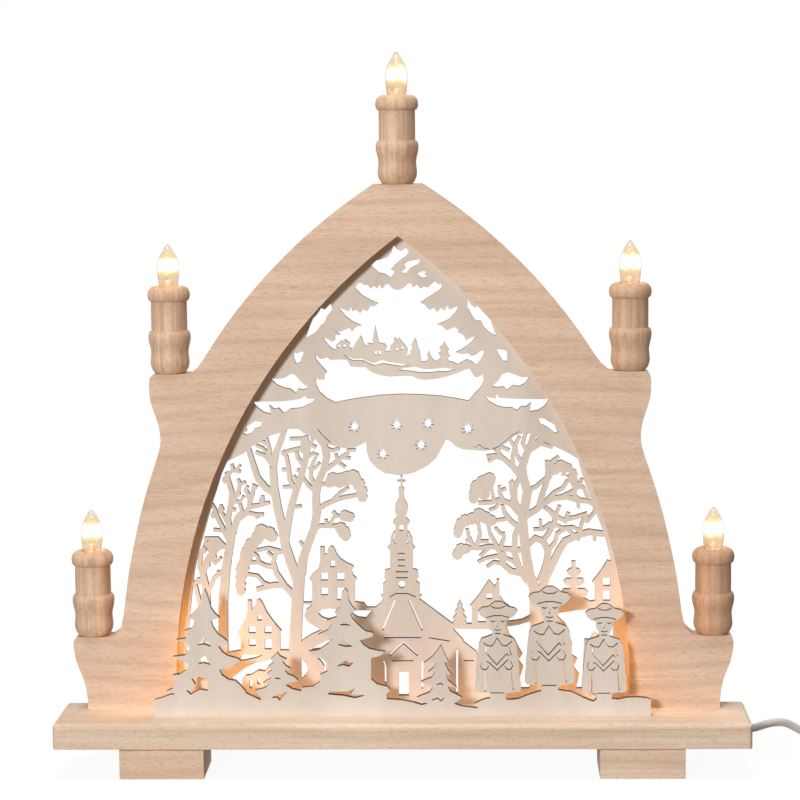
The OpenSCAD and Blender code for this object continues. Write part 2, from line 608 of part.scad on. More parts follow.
tree_left_px = [
    [11, 10, [[294.5, 700], [294.5, 650], [296, 620], [298, 590], [299, 570]]],
    [8.5, 6, [[297, 578], [291, 562], [285.5, 545], [282, 525], [277.5, 505], [274.5, 485], [273.5, 465]]],
    [6, 4, [[273.5, 465], [276, 452], [281, 440], [285, 428]]],
    [5.5, 3.5, [[275, 492], [266, 486], [258, 476], [253.5, 462], [250, 450], [247, 441]]],
    [3, 2, [[272, 462], [266, 454], [256, 450]]], [3, 2, [[270, 459], [270, 448], [267, 436]]],
    [2, 1.8, [[272, 455], [263, 446], [256, 443]]], [2, 1.8, [[269, 444], [264, 440], [260, 439]]],
    [6.5, 4, [[285.5, 540], [288, 522], [291.5, 505], [296, 490], [301, 476], [305, 462], [308, 448], [306, 434]]],
    [3.5, 2.2, [[296, 488], [290, 478], [289, 466], [287, 455], [283, 449]]], [2.2, 1.8, [[289, 468], [282, 468]]],
    [2.2, 1.8, [[292, 485], [283, 485.5]]], [2.2, 2, [[293, 506], [302, 504.5]]],
    [3, 2.5, [[308, 452], [300, 447], [290, 449], [282, 452]]], [2.5, 2, [[303, 447], [303, 437], [290, 437]]],
    [2, 1.8, [[302, 470], [297, 468]]], [2.4, 2, [[298, 480], [294, 474]]], [3, 2, [[304, 464], [298, 456], [297, 450]]],
    [8, 5, [[301, 575], [303, 558], [308, 543], [314, 528], [317, 512], [316, 496], [318, 482], [324, 468], [327, 456], [325, 444], [318, 434]]],
    [4, 2.5, [[318, 508], [326, 503], [335, 499], [345, 496], [361, 493.5]]], [2.5, 2, [[333, 499], [340, 492], [349, 486]]],
    [3, 2.5, [[314, 527], [322, 524.5], [332, 525], [342, 524]]], [2.4, 2, [[327, 524], [326, 518]]],
    [2.5, 2, [[333, 510], [337, 515], [346, 514]]], [2.5, 2, [[329, 525], [336, 513]]],
    [3.5, 2.2, [[326, 468], [335, 462], [342, 456], [348, 452], [349, 448]]], [2, 1.8, [[343, 456], [351, 457]]],
    [2, 1.8, [[338, 459], [336, 452]]], [2, 1.8, [[337, 460], [346, 466]]], [2, 1.8, [[347, 449], [356, 448.5]]],
    [2.6, 2, [[326, 447], [333, 449], [340, 447]]], [3, 2.2, [[316, 486], [311, 476], [312, 464], [318, 452]]],
    [2.4, 2, [[309, 468], [316, 466], [320, 461]]], [2.2, 2, [[309, 455], [315, 451]]], [2.2, 2, [[317, 446], [311, 443]]],
    [3, 2, [[316, 490], [309, 484], [303, 476]]], [2.6, 2, [[308, 448], [313, 438], [312, 430]]],
    [2, 1.8, [[303, 545], [300, 540]]], [2.6, 2, [[319, 484], [335, 480]]],
    [5.5, 3, [[297, 600], [291, 592], [283, 584], [272, 584.5], [262, 587.5], [256, 589]]],
    [4, 3, [[284, 584], [276, 572], [273, 561], [276, 552], [284, 550]]],
    [3.4, 2, [[274, 566], [266, 565], [258, 561], [250, 562]]], [2.6, 2, [[270, 585], [263, 582], [257, 575], [246, 573]]],
    [3, 2, [[279, 550], [268, 547], [258, 549], [251, 547]]], [2.4, 2, [[259, 562], [257, 555], [252, 551]]],
    [2, 1.8, [[275, 557], [267, 551]]]
];
leaves_left_px = [
    [333, 478, 5.6], [340, 479, 6], [347, 477, 6], [353, 476, 6.4], [359, 483, 5], [362, 490, 4.4], [363, 496, 3.6],
    [330, 481, 3.6], [345, 514.5, 4.2], [350, 516, 3.6], [341, 527, 4.4], [344, 531, 5], [346, 535, 3.6],
    [261, 530, 6], [269, 532, 5.4], [272, 535, 4.4], [257, 537, 5.4], [251, 544, 6], [247, 552, 6], [245, 560, 5.4],
    [242, 568, 5.6], [240.5, 576, 4.4], [240, 584, 4], [240.5, 590, 3.2]
];
tree_far_px = [
    [9, 7, [[223, 700], [222, 640], [222.5, 600], [225, 572], [228, 552]]], [7, 4, [[228, 552], [232, 532], [237, 518], [247, 511]]],
    [4, 2.2, [[245, 512], [250, 505], [260, 503.5], [270, 501]]], [2.6, 2, [[246, 511], [257, 513], [264, 513]]],
    [2.4, 2, [[262, 503], [263, 494]]], [2.4, 2, [[256, 513], [258, 517]]], [3, 2.2, [[249, 507], [250, 496], [246, 488], [248, 484]]],
    [2.6, 2, [[250, 502], [253, 492], [254, 484], [258, 486]]],
    [5, 3, [[229, 550], [229, 532], [228, 516], [231, 502], [232, 490], [229, 480], [227, 470]]],
    [3, 2, [[233, 500], [238, 491], [240, 483], [246, 480]]], [2.4, 2, [[228, 474], [233, 468], [241, 470]]],
    [2, 1.8, [[234, 468], [232, 462]]], [2, 1.8, [[237, 468], [241, 463]]], [2.4, 2, [[241, 483], [238, 477]]],
    [2.4, 2, [[233, 500], [240, 500], [244, 494]]], [2.4, 2, [[236, 516], [242, 510], [240, 502]]],
    [3.5, 2, [[227, 536], [222, 525], [217, 515], [215, 508], [212, 502]]], [2.4, 2, [[227, 520], [221, 510], [221, 503]]],
    [3, 2, [[227, 548], [217, 537], [204, 537]]], [2.2, 2, [[222, 529], [213, 528]]], [2.4, 2, [[230, 508], [236, 508]]],
    [6, 4, [[207, 640], [206, 600], [205, 585], [202, 572], [206, 560], [212, 552], [209, 545], [204, 540]]],
    [3, 2, [[212, 553], [220, 546], [228, 545]]], [2.4, 2, [[212, 556], [215, 549], [214, 544]]],
    [3.4, 2.4, [[203, 575], [199, 566], [200, 553], [204, 545]]], [3.4, 2.4, [[207, 592], [213, 578], [221, 571], [224, 574]]],
    [2.2, 2, [[216, 570], [220, 574]]], [2.4, 2, [[208, 566], [208, 556], [215, 562], [221, 556]]],
    [3, 2.4, [[197, 620], [199, 604], [196, 590], [193, 580]]], [2.2, 2, [[224, 562], [231, 562]]]
];
leaves_far_px = [
    [212, 541, 3], [219, 543, 3], [214, 513, 2], [221, 508, 2], [226, 478, 2], [213, 556, 2], [198, 580, 2], [203, 549, 2],
    [238, 492, 1.6], [262, 499, 1.6], [233, 532, 2], [249, 494, 1.6]
];
tree_right_px = [
    [26, 16, [[544, 626], [541, 608], [538, 592]]],
    [9, 7, [[537, 596], [530, 577], [526.5, 558], [524, 538], [522.5, 520], [525, 504], [527, 492], [523, 478], [521.5, 466]]],
    [6, 4, [[521.5, 468], [526, 454], [530, 444], [533, 434]]],
    [5.5, 4, [[528, 582], [519, 568], [514, 552], [515, 536], [519, 524]]],
    [4, 3, [[521, 514], [514.5, 500], [515, 486], [520, 476]]],
    [4.5, 2.5, [[519, 475], [512, 466], [503, 458], [494, 455], [486, 456]]],
    [3, 2.2, [[513, 467], [512, 457], [514, 447], [509, 439]]], [3, 2.2, [[522, 464], [516, 454], [515, 444], [519, 436]]],
    [3, 2.2, [[527, 452], [522, 443], [525, 433]]], [3.5, 2.4, [[529, 450], [540, 443], [552, 447]]],
    [2.6, 2, [[532, 446], [538, 439], [546, 440]]], [2.4, 2, [[503, 458], [496, 450], [502, 446]]],
    [2.4, 2, [[496, 456], [488, 461]]], [2.4, 2, [[509, 450], [500, 446]]],
    [4.5, 2.5, [[520, 514], [511, 504], [500, 499], [490, 502], [478, 502.5]]],
    [2.6, 2, [[503, 500], [499, 492], [499, 485]]], [2.6, 2, [[513, 500], [511, 491], [510, 483], [513, 480]]],
    [2.2, 2, [[500, 490], [506, 488]]], [2.4, 2, [[500, 500], [496, 507], [489, 510]]],
    [2.4, 2, [[494, 501], [491, 488], [488, 482]]], [2.4, 2, [[511, 503], [512, 498]]],
    [4, 2.5, [[519, 527], [511, 521], [504, 512], [502, 504]]], [2.4, 2, [[508, 518], [492, 521]]],
    [4, 2.5, [[521, 550], [510, 549], [500, 548], [490, 546], [478, 548], [464, 547]]],
    [3, 2.4, [[500, 548], [504, 538], [503, 532]]], [2.2, 2, [[504, 534], [500, 533], [495, 527]]],
    [3, 2.4, [[497, 546], [490, 534], [488, 524]]], [2.4, 2.4, [[478, 541], [489, 541]]], [3, 2.4, [[476, 549], [480, 534], [478, 522]]],
    [2.4, 2.4, [[475, 548], [469, 538], [467, 528]]], [2.2, 2, [[472, 538], [466, 541]]],
    [5.5, 3, [[531, 580], [522, 573.5], [511, 571], [504, 565], [501, 556], [498, 549]]],
    [2.8, 2, [[506, 558], [496, 556], [486, 558], [478, 562]]], [2.6, 2, [[504, 564], [494, 562], [487, 567]]],
    [2.8, 2, [[521, 570], [513, 561], [506, 558], [503, 551]]], [2.4, 2, [[490, 547], [480, 556]]],
    [7, 4.5, [[541, 594], [546, 577], [553, 563], [559, 550], [565, 541], [576, 536], [588, 532], [604, 534]]],
    [6, 4, [[540, 582], [546, 566], [548, 552], [543, 541], [535, 538], [528, 545]]],
    [4, 3, [[543, 541], [551, 529], [555, 519], [550, 511], [544, 507]]], [3, 2.4, [[547, 552], [555, 542], [557, 533]]],
    [5, 3, [[525, 516], [535, 510], [543, 503], [553, 498], [566, 496.5], [577, 500], [587, 501], [596, 506]]],
    [4.5, 3, [[538, 508], [542, 494], [546, 482], [547, 472], [546, 460]]], [2.8, 2, [[547, 480], [553, 470], [550, 462], [558, 456]]],
    [3, 2.4, [[528, 490], [536, 486], [545, 478]]], [3, 2.4, [[546, 500], [554, 492], [562, 488], [567, 480]]],
    [2.6, 2.2, [[562, 496], [570, 492], [579, 486], [581, 478]]], [2.8, 2.4, [[577, 484], [583, 488], [587, 498]]],
    [2.6, 2.2, [[574, 486], [574, 496], [580, 500]]], [2.4, 2, [[547, 468], [552, 466], [560, 462]]],
    [3, 2.4, [[550, 511], [556, 516], [565, 521], [568, 512]]], [2.4, 2, [[556, 514], [559, 505]]],
    [3, 2.4, [[566, 519], [576, 517], [585, 514], [587, 523]]], [2.6, 2.2, [[553, 524], [562, 528], [572, 527], [580, 531]]],
    [2.6, 2.4, [[586, 514], [581, 524], [580, 532]]], [2.6, 2.4, [[586, 522], [594, 512], [594, 500]]],
    [2.6, 2.2, [[577, 500], [578, 508]]], [2.6, 2.4, [[556, 534], [566, 528], [574, 536]]],
    [2.4, 2, [[541, 530], [540, 519]]], [2.4, 2, [[541, 529], [533, 529]]], [3, 2.4, [[551, 523], [541, 530]]],
    [2.6, 2, [[578, 534], [578, 541]]], [2.8, 2, [[594, 532], [594, 541]]]
];
leaves_right_px = [
    [489, 478.5, 5.2], [483, 482, 6], [477, 486, 5.6], [474.5, 493, 4.6], [473.5, 498, 3.4], [482, 489, 6], [487, 485, 5],
    [484, 494, 4], [479, 514, 5], [472, 518, 4.6], [465, 520, 4.6], [461, 523, 4.2], [458.5, 529, 3.6], [458, 533, 3],
    [485, 517, 4.8], [491, 520, 4.2], [476, 519, 3], [461, 549, 4.6], [457.5, 554, 4], [466, 548.5, 3.4], [575, 485, 3],
    [560, 466, 5], [566, 469, 5], [571, 474, 4.4], [572, 479, 3.6], [562, 470, 4], [554, 470, 3]
];
leaf_holes_px = [[559.5, 473.5, 0.3], [566.5, 473.5, 0.2]];

// The panel with its open sky and landscape
module back_drawing() {
    difference() {
        rebate_shape(rebate_w - panel_gap);
        on_grid(back_origin_px, back_grid, back_stretch) polygon(sky_px);
    }
    intersection() {
        rebate_shape(rebate_w - panel_gap);
        on_grid(back_origin_px, back_grid, back_stretch) landscape();
    }
}

// What is cut through the finished outlines
module back_holes() {
    on_grid(back_origin_px, back_grid, back_stretch) {
        for (hole = bough_cuts_px) polygon(hole);
        polygon(fir_window_px);
        for (hole = path_cuts_px) polygon(hole);
        boxes(village_cuts_px);
        for (place = stars_px) star(place, star_px);
        slots(cloud_slots_px);
        boxes(house_cuts_px);
        boxes(church_cuts_px);
        slots(church_slots_px);
        slots(church_wide_slots_px, 2 * slot_px);
        translate(clock_px) circle(r = clock_r_px, $fn = 16);
    }
    brad_dots();
}

module landscape() {
    difference() {
        polygon(land_px);
        for (hole = land_cuts_px) polygon(hole);
    }
    polygon(house_a_px);
    polygon(house_b_px);
    polygon(house_c_px);
    polygon(house_d_px);
    for (fir = small_firs_px) polygon(fir);
    polygon([for (p = mirrored(tower_px)) [p[0] + tower_axis_px, p[1]]]);
    boxes(cross_px);
    limbs(tree_left_px);
    limbs(tree_far_px);
    limbs(tree_right_px);
    difference() {
        union() {
            leaves(leaves_left_px);
            leaves(leaves_far_px);
            leaves(leaves_right_px);
        }
        leaves(leaf_holes_px);
    }
}

module back_panel() {
    color("wheat") difference() {
        upright(back_y - rebate_d + panel_t, panel_t) offset(delta = -kerf) back_drawing();
        upright(back_y - rebate_d + panel_t + cut, panel_t + 2 * cut) offset(delta = kerf) back_holes();
    }
}

// Front panel

meadow_px = [
    [154, 716.2], [154, 701], [157, 699], [164, 697], [172, 694], [200, 692], [246, 692], [262, 700], [272, 697], [290, 699],
    [313, 699.5], [330, 698], [370, 701], [388, 699], [401, 700], [412, 702], [422, 705], [430, 703], [452, 703], [462, 706.5],
    [478, 708.5], [474, 704], [482, 700], [490, 698], [504, 698], [508, 700], [518, 699], [530, 694], [540, 691], [556, 690],
    [570, 692], [582, 698], [592, 702], [595, 699], [612, 699], [616, 700], [624, 698], [636, 697.5], [645, 698.5], [650, 701],
    [652, 706], [653, 716.2], [653, 730], [154, 730]
];
fir_a_px = [
    [207, 587], [209, 592], [211, 598], [213, 606], [217, 612], [222, 616.5], [213, 619], [215, 626], [220, 633], [226, 637],
    [229, 640], [227, 643], [220, 645], [224, 651], [230, 655], [238, 657], [243, 660], [236, 664], [228, 668], [221, 668.5],
    [223, 674], [230, 679], [237, 680], [242, 685], [247, 691], [246, 700], [176, 700], [176, 693], [168, 690.5], [174, 688],
    [178, 679], [174, 674], [181, 673.5], [188, 669], [190, 663], [182, 659], [175, 655.5], [187, 654], [192, 648],
    [189, 642], [178, 638.5], [188, 637], [191, 632], [186, 629.5], [193, 627], [196, 623], [196, 618], [190, 616.5],
    [195, 612], [200, 606], [203, 600], [204, 592]
];
fir_a_cuts_px = [
    [[207, 633], [209, 638], [213, 645.5], [206, 643], [199, 644], [204, 640]],
    [[200, 663], [203, 657], [207, 654.5], [209, 659], [212, 664], [206, 662]],
    [[193, 678], [200, 676], [208, 677], [210, 684], [209, 690], [202, 689], [197, 691], [192, 694], [188, 690], [194, 688], [197, 684]]
];
fir_b_px = [
    [346.5, 587], [349, 591], [349.5, 599], [353, 605], [357, 609.5], [351, 612], [353, 617], [359, 624], [366, 630], [374, 632],
    [373, 636], [361, 639.5], [364, 644], [370, 648], [379, 650], [386, 651], [381, 655], [372, 657.5], [372, 679],
    [378, 684], [388, 686.5], [391, 690], [387, 694], [388, 702], [300, 702], [303, 687], [314, 686], [321, 681], [321, 674],
    [328, 671], [330, 665], [325, 659], [318, 655], [312, 653.5], [310, 650.5], [320, 649], [330, 642], [333, 638],
    [326, 634], [319, 633.5], [329, 629], [333, 623], [328, 619.5], [338, 615.5], [336, 611], [341, 606], [342, 599], [343, 591]
];
fir_b_cuts_px = [
    [[341, 624], [344, 621], [347, 619.5], [349, 623], [352, 624.5], [346.5, 624]],
    [[339, 644], [342, 641], [344, 637.5], [346, 641], [349, 643], [354, 645.5], [347, 646]],
    [[338, 665.5], [343, 662], [347, 659.5], [350, 662.5], [354, 662], [350, 666], [344, 664.5]],
    [[329, 694], [331, 690], [335, 691.5], [350, 691], [355, 688], [352, 694], [366, 695], [356, 698], [345, 695.5]]
];
fir_c_px = [
    [279, 651.5], [281, 655], [288, 658.5], [284, 661], [287, 665], [292, 668], [286, 669.5], [289, 673.5], [295, 676],
    [300, 680.5], [292, 682], [287, 684.5], [293, 688.5], [303, 691], [306, 698], [300, 702], [262, 702], [262, 696],
    [256, 690], [266, 687.5], [270, 684], [264, 682.5], [272, 677.5], [268, 673], [274, 669], [269, 666], [275, 661.5], [272, 658]
];
fir_c_cuts_px = [
    [[276, 678], [279, 675.5], [282, 678.5]],
    [[273, 697.5], [277, 694], [282, 693.5], [288, 691.5], [284, 696], [281, 700.5], [278, 697]]
];
fir_d_px = [
    [441, 644.5], [444, 652], [449, 662.5], [444.5, 661.5], [447, 668], [452, 675], [446, 673.5], [448, 680], [457, 687.5],
    [448, 686.5], [450, 691], [462, 697.5], [454, 704], [428, 704], [417, 697.5], [430, 692], [433, 687.5],
    [421, 681.5], [432, 677], [435, 672], [428, 672], [434, 667], [436.5, 661.5], [424, 662.5], [433, 655.5], [438, 649]
];
fir_d_slots_px = [[[437, 684.5], [441, 683], [443, 684.5]], [[432, 700], [438, 698], [441, 701], [444, 698]]];

// Carol singer, drawn about the middle of the hat's top
singer_px = [
    [-6, 2], [-3, 0], [3, 0], [6.5, 2], [11, 5.5], [18, 7], [21, 10], [18, 15], [12.5, 18.5], [9.3, 19.5], [8.7, 27], [5.5, 33],
    [6, 36], [10, 37.5], [17, 40], [20, 46], [22, 60], [23.5, 78], [25.5, 95], [24, 98], [9, 99.5], [9, 112],
    [-8, 112], [-8, 99.5], [-22, 98.5], [-24, 96], [-23, 78], [-21.5, 60], [-20, 46], [-17.5, 40], [-10, 37.5], [-6, 36],
    [-5.5, 33], [-8.7, 27], [-9.3, 19.5], [-14, 18.5], [-19, 14.5], [-21, 10], [-17, 6.5], [-10, 5.5]
];
singer_slots_px = [
    [[-7.5, 4.8], [-3, 6.8], [3, 6.8], [7.5, 4.8]], [[-12, 17], [-4, 15], [4, 15], [12, 17]],
    [[-7.5, 20.6], [-5.2, 21.8], [-3, 20.6]], [[3, 20.6], [5.2, 21.8], [7.5, 20.6]], [[0, 21], [-0.6, 27]],
    [[-3.5, 30.2], [0, 31], [3.5, 30.2]], [[-3, 34.5], [3, 34.5]],
    [[-15.5, 44.5], [-11, 47.5], [-6, 48], [-0.5, 39], [4.5, 47], [9, 48], [15, 43]],
    [[-12.5, 49], [-12.5, 56]], [[12.5, 48.5], [14.5, 58]],
    [[-11, 57], [-1, 68.5], [9.5, 56.5], [12, 59]], [[-12, 65], [-9, 66], [-0.5, 74.5], [11, 63]],
    [[-17, 65], [-18.5, 69], [-16, 73.5], [-12, 73.5], [-9.5, 70]], [[14, 64.5], [16, 69], [14, 73.5], [10, 73.5], [8, 70.5]],
    [[-13.5, 76], [-13, 98]], [[14.5, 77], [17, 96]], [[-7, 99.3], [7, 99.3]]
];
// Place and size of each singer
singers_px = [[497, 601, 0.925], [548, 586, 1], [602, 603.5, 0.905]];

module front_drawing() {
    polygon(meadow_px);
    polygon(fir_a_px);
    polygon(fir_b_px);
    polygon(fir_c_px);
    polygon(fir_d_px);
    for (s = singers_px) translate([s[0], s[1]]) scale(s[2]) polygon(singer_px);
}

module front_holes() {
    for (hole = concat(fir_a_cuts_px, fir_b_cuts_px, fir_c_cuts_px)) polygon(hole);
    slots(fir_d_slots_px);
    for (s = singers_px) translate([s[0], s[1]]) scale(s[2]) slots(singer_slots_px);
}

module front_panel() {
    color("wheat") difference() {
        upright(panel_y + panel_t, panel_t) offset(delta = -kerf) union() {
            intersection() {
                on_grid(front_origin_px, front_grid) front_drawing();
                translate([-front_panel_w / 2, -panel_groove]) square([front_panel_w, opening_h]);
            }
            translate([-front_panel_w / 2 + base_corner, -panel_groove])
                square([front_panel_w - 2 * base_corner, 2 * panel_groove]);
        }
        upright(panel_y + panel_t + cut, panel_t + 2 * cut) offset(delta = kerf)
            on_grid(front_origin_px, front_grid) front_holes();
    }
}

// Candles, turned from one piece each

seat_share = 0.86;
cup_share = [[0, 0.03], [0.5, 0.12], [0.78, 0.2], [0.86, 0.3], [0.8, 0.42], [0.7, 0.5], [0.78, 0.6], [1, 0.74], [1, 0.9], [0.88, 0.97], [0.6, 1]];
collar_share = [[0, 0], [0.55, 0.06], [0.9, 0.22], [1, 0.5], [0.9, 0.78], [0.55, 0.95], [0.2, 1]];
candle_profile = concat(
    [[0, 0], [seat_d / 2 * seat_share, 0]],
    smooth(between([seat_d / 2, 0], [cup_d / 2, cup_h], [for (p = cup_share) p]), 2),
    [[shaft_d / 2, cup_h]],
    smooth(between([shaft_d / 2, candle_h - collar_h], [cup_d / 2, candle_h], collar_share), 2),
    [[0, candle_h]]
);

module candle(spot) {
    color("burlywood") translate(spot) difference() {
        union() {
            rotate_extrude($fn = 24) polygon(candle_profile);
            translate([0, 0, -spigot_h]) cylinder(d = spigot_d, h = spigot_h + cut, $fn = 20);
        }
        translate([0, 0, candle_h - sleeve_drop - sleeve_h])
            cylinder(d = sleeve_d + loose, h = sleeve_h + sleeve_drop + cut, $fn = 20);
        translate([0, 0, -spigot_h - cut]) cylinder(d = wire_bore_d, h = candle_h, $fn = 16);
    }
}

// Sockets and lamps, measured down from the top of the candle or holder

shell_wall = 0.35;
shell_r = cap_d / 2 + thread_fit + shell_wall;
shell_top = -cap_drop - loose;
shell_h = cap_h + 2 * loose;
pocket_r = shell_r + seat;
mouth_r = glass_d * 0.44;
floor_t = 3 * shell_r / 5;
rivet_r = contact_d / 2.6;
bead_h = contact_d * 0.32;
rivet_top = -cap_drop - cap_h - bead_h - loose;
pocket_z = rivet_top - rivet_r / 2;

module seat_cavity(depth) {
    translate([0, 0, shell_top]) cylinder(r = mouth_r, h = -shell_top + cut, $fn = 20);
    translate([0, 0, pocket_z]) cylinder(r = pocket_r, h = -pocket_z, $fn = 20);
    translate([0, 0, -depth - cut]) cylinder(r = rivet_r + seat, h = depth, $fn = 24);
    translate([0, 0, -depth - cut]) cylinder(r = pocket_r, h = depth + cut + pocket_z - floor_t, $fn = 20);
}

module socket(spot) {
    bottom = sleeve_drop + sleeve_h;
    color("ivory") translate(spot + [0, 0, candle_h]) difference() {
        translate([0, 0, -bottom]) cylinder(d = sleeve_d, h = sleeve_h, $fn = 20);
        seat_cavity(bottom);
    }
}

module holder(spot) {
    color("ivory") translate(spot + [0, 0, candle_h]) difference() {
        union() {
            translate([0, 0, -holder_h]) cylinder(d = holder_d, h = holder_h - sleeve_drop, $fn = 20);
            translate([0, 0, -holder_h]) cylinder(d = flange_d, h = flange_t, $fn = 20);
        }
        seat_cavity(holder_h);
        for (s = [1, -1]) translate([s * holder_screw_x, 0, -holder_h + flange_t]) small_hole();
    }
}

function lamp_spots() = concat(candle_spots(), [inner_spot, left(inner_spot)]);

module socket_shells() {
    color("goldenrod") for (spot = lamp_spots())
        translate(spot + [0, 0, candle_h + shell_top - shell_h]) difference() {
            cylinder(r = shell_r, h = shell_h, $fn = 20);
            translate([0, 0, -cut]) cylinder(r = shell_r - shell_wall, h = shell_h + 2 * cut, $fn = 20);
        }
}

module socket_rivets() {
    color("goldenrod") for (spot = lamp_spots()) translate(spot + [0, 0, candle_h]) {
        translate([0, 0, pocket_z]) cylinder(r = 1.5 * rivet_r, h = rivet_top - pocket_z, $fn = 24);
        translate([0, 0, pocket_z - floor_t]) cylinder(r = rivet_r, h = floor_t + loose, $fn = 24);
    }
}

// Pointed glass, in shares of its radius and of its height above the socket
glass_share = [
    [0.66, -0.11], [0.83, 0], [0.95, 0.14], [1, 0.33], [0.96, 0.45], [0.84, 0.59],
    [0.64, 0.735], [0.42, 0.855], [0.2, 0.945]
];
neck_r = cap_d / 2 - cap_wall - loose;
neck_low = -cap_drop - cap_h / 5;
glass_outer = concat([[neck_r, neck_low], [neck_r, -cap_drop + loose]], sized(glass_share, glass_d / 2, glass_h));

module glass(spot) {
    inner = [for (p = glass_outer) [max(p[0] - glass_wall, 0), min(p[1], glass_h - 3 * glass_wall)]];
    color("lightyellow", 0.4) translate(spot + [0, 0, candle_h]) rotate_extrude($fn = 20)
        polygon(concat(glass_outer, [[0, glass_h], [0, glass_h - 2 * glass_wall]], backwards([for (p = inner) if (p[0] > 0) p])));
}

module cap(spot) {
    color("goldenrod") translate(spot + [0, 0, candle_h - cap_drop - cap_h]) difference() {
        cylinder(d = cap_d, h = cap_h, $fn = 20);
        translate([0, 0, 4 * cap_wall]) cylinder(d = cap_d - 2 * cap_wall, h = cap_h, $fn = 20);
        translate([0, 0, -cut]) cylinder(d = contact_d + 2 * thread_fit, h = cap_h, $fn = 16);
    }
}

// Solder bead on a short stem
module contact(spot) {
    color("silver") translate(spot + [0, 0, candle_h - cap_drop - cap_h]) union() {
        translate([0, 0, -loose]) cylinder(d = contact_d, h = loose + 3 * cap_wall, $fn = 16);
        translate([0, 0, -bead_h]) cylinder(d1 = contact_d * 0.6, d2 = contact_d * 1.25, h = bead_h - loose, $fn = 16);
    }
}

lead_x = glass_d * 0.15;
lead_d = glass_wall * 0.8;
lead_top = glass_h * 0.3;
coil_top = glass_h * 0.52;

// Glass stem, two leads and the bent filament between them
module filament(spot) {
    color("gold") translate(spot + [0, 0, candle_h]) union() {
        translate([0, 0, neck_low + loose]) cylinder(r = neck_r - glass_wall - seat, h = 2 * glass_wall, $fn = 16);
        translate([0, 0, neck_low + loose]) cylinder(r = lead_x + lead_d / 2, h = -neck_low / 2, $fn = 24);
        for (s = [1, -1]) {
            translate([s * lead_x, 0, neck_low + loose]) cylinder(d = lead_d, h = lead_top - neck_low, $fn = 12);
            rod([s * lead_x, 0, lead_top], [0, 0, coil_top], lead_d);
        }
    }
}

// Straight eight-sided rod between two places
module rod(a, b, d) {
    way = b - a;
    translate(a) rotate([0, acos(way[2] / norm(way)), atan2(way[1], way[0])])
        translate([0, 0, -d / 2]) cylinder(d = d, h = norm(way) + d, $fn = 8);
}

// Wire inside the arch and the base

// Flat twin wire in the groove and the channel, with a round riser to each lamp
module wiring_loom() {
    floor_z = rivet_drop();
    color("whitesmoke") union() {
        upright(mid_y + wire_d / 2, wire_d) offset(delta = kerf) wire_drawing(wire_d - 2 * kerf);
        translate([0, 0, cord_z - wire_d / 2]) linear_extrude(wire_d) loom_plan();
        for (s = [1, -1]) {
            riser([s * leg_x, mid_y, cord_z], top_z + low_branch[1] / 2 - cord_z);
            riser([s * inner_lamp_x, lamp_y, cord_z], inner_spot[2] + candle_h - floor_z - cord_z);
        }
        for (spot = candle_spots())
            riser([spot[0], spot[1], branch_z(spot)], spot[2] + candle_h - floor_z - branch_z(spot));
    }
}

module riser(place, h) {
    translate(place) cylinder(d = 0.8 * wire_d, h = h, $fn = 8);
}

module loom_plan() {
    translate([-leg_x - wire_d / 2, lamp_y - wire_d / 2]) square([leg_x + lead_joint, wire_d]);
    for (s = [1, -1])
        translate([s * leg_x - wire_d / 2, lamp_y - wire_d / 2]) square([wire_d, mid_y - lamp_y + wire_d]);
}

// Depth of the rivet's underside below a lamp's top
function rivet_drop() = floor_t - pocket_z + loose;

// Bridges that hold the wire in its groove
clip_w = 2 * wire_bore_d;
clip_t = 0.8;
clip_l = 3.2;
module wire_clips() {
    color("silver") for (s = [1, -1]) for (i = [1, 3, 5, 7, 9]) {
        a = wire_path[i];
        b = wire_path[i + 1];
        mid = (a + b) / 2;
        tongue = arch_t / 2 - wire_d / 2 - loose;
        translate([s * mid[0], back_y, top_z + mid[1]]) rotate([0, -s * atan2(b[1] - a[1], b[0] - a[0]), 0]) union() {
            translate([-clip_l / 2, 0, -clip_w / 2]) cube([clip_l, clip_t, clip_w]);
            translate([-clip_l / 2, -tongue, -wire_d / 2]) cube([clip_l, tongue + clip_t / 2, wire_d]);
        }
    }
}

// Saddle that clamps the lead in its channel
clamp_x = base_w / 2 - 4 * cord_d;
clamp_w = 10;
clamp_t = 1.6;
clamp_l = 3 * channel_w;
module cord_clamp() {
    pad_top = cord_z - cord_d / 2 - seat;
    color("white") difference() {
        union() {
            translate([clamp_x - clamp_w / 2, lamp_y - clamp_l / 2, base_z - clamp_t]) cube([clamp_w, clamp_l, clamp_t]);
            translate([clamp_x - clamp_w / 2, lamp_y - channel_w / 2 + loose, base_z - clamp_t])
                cube([clamp_w, channel_w - 2 * loose, clamp_t + pad_top - base_z]);
        }
        for (s = [1, -1]) translate([clamp_x, lamp_y + s * clamp_screw_y, base_z - clamp_t]) mirror([0, 0, 1]) small_hole();
    }
}

// Screws and panel pins

pilot = 0.04;
foot_screw_x = foot_w * 0.3;
foot_screw_y = front_y + foot_set + foot_d * 0.3;
arch_screw_x = [leg_x - 3 * screw_head_d / 2, leg_x + 2 * screw_head_d];
holder_screw_x = (holder_d / 2 + flange_d / 2) / 2;
clamp_screw_y = clamp_l / 2 - channel_w / 3 - small_screw_d / 2;

module long_screw_places() {
    for (s = [1, -1]) {
        for (x = arch_screw_x) translate([s * x, mid_y, base_z]) children();
        for (dx = [1, -1]) translate([s * foot_x + dx * foot_screw_x, foot_screw_y, 0]) children();
    }
}

module holder_screw_places() {
    for (s = [1, -1]) for (dx = [1, -1])
        translate([s * inner_lamp_x + dx * holder_screw_x, lamp_y, top_z + flange_t]) children();
}

module clamp_screw_places() {
    for (s = [1, -1]) translate([clamp_x, lamp_y + s * clamp_screw_y, base_z - clamp_t]) mirror([0, 0, 1]) children();
}

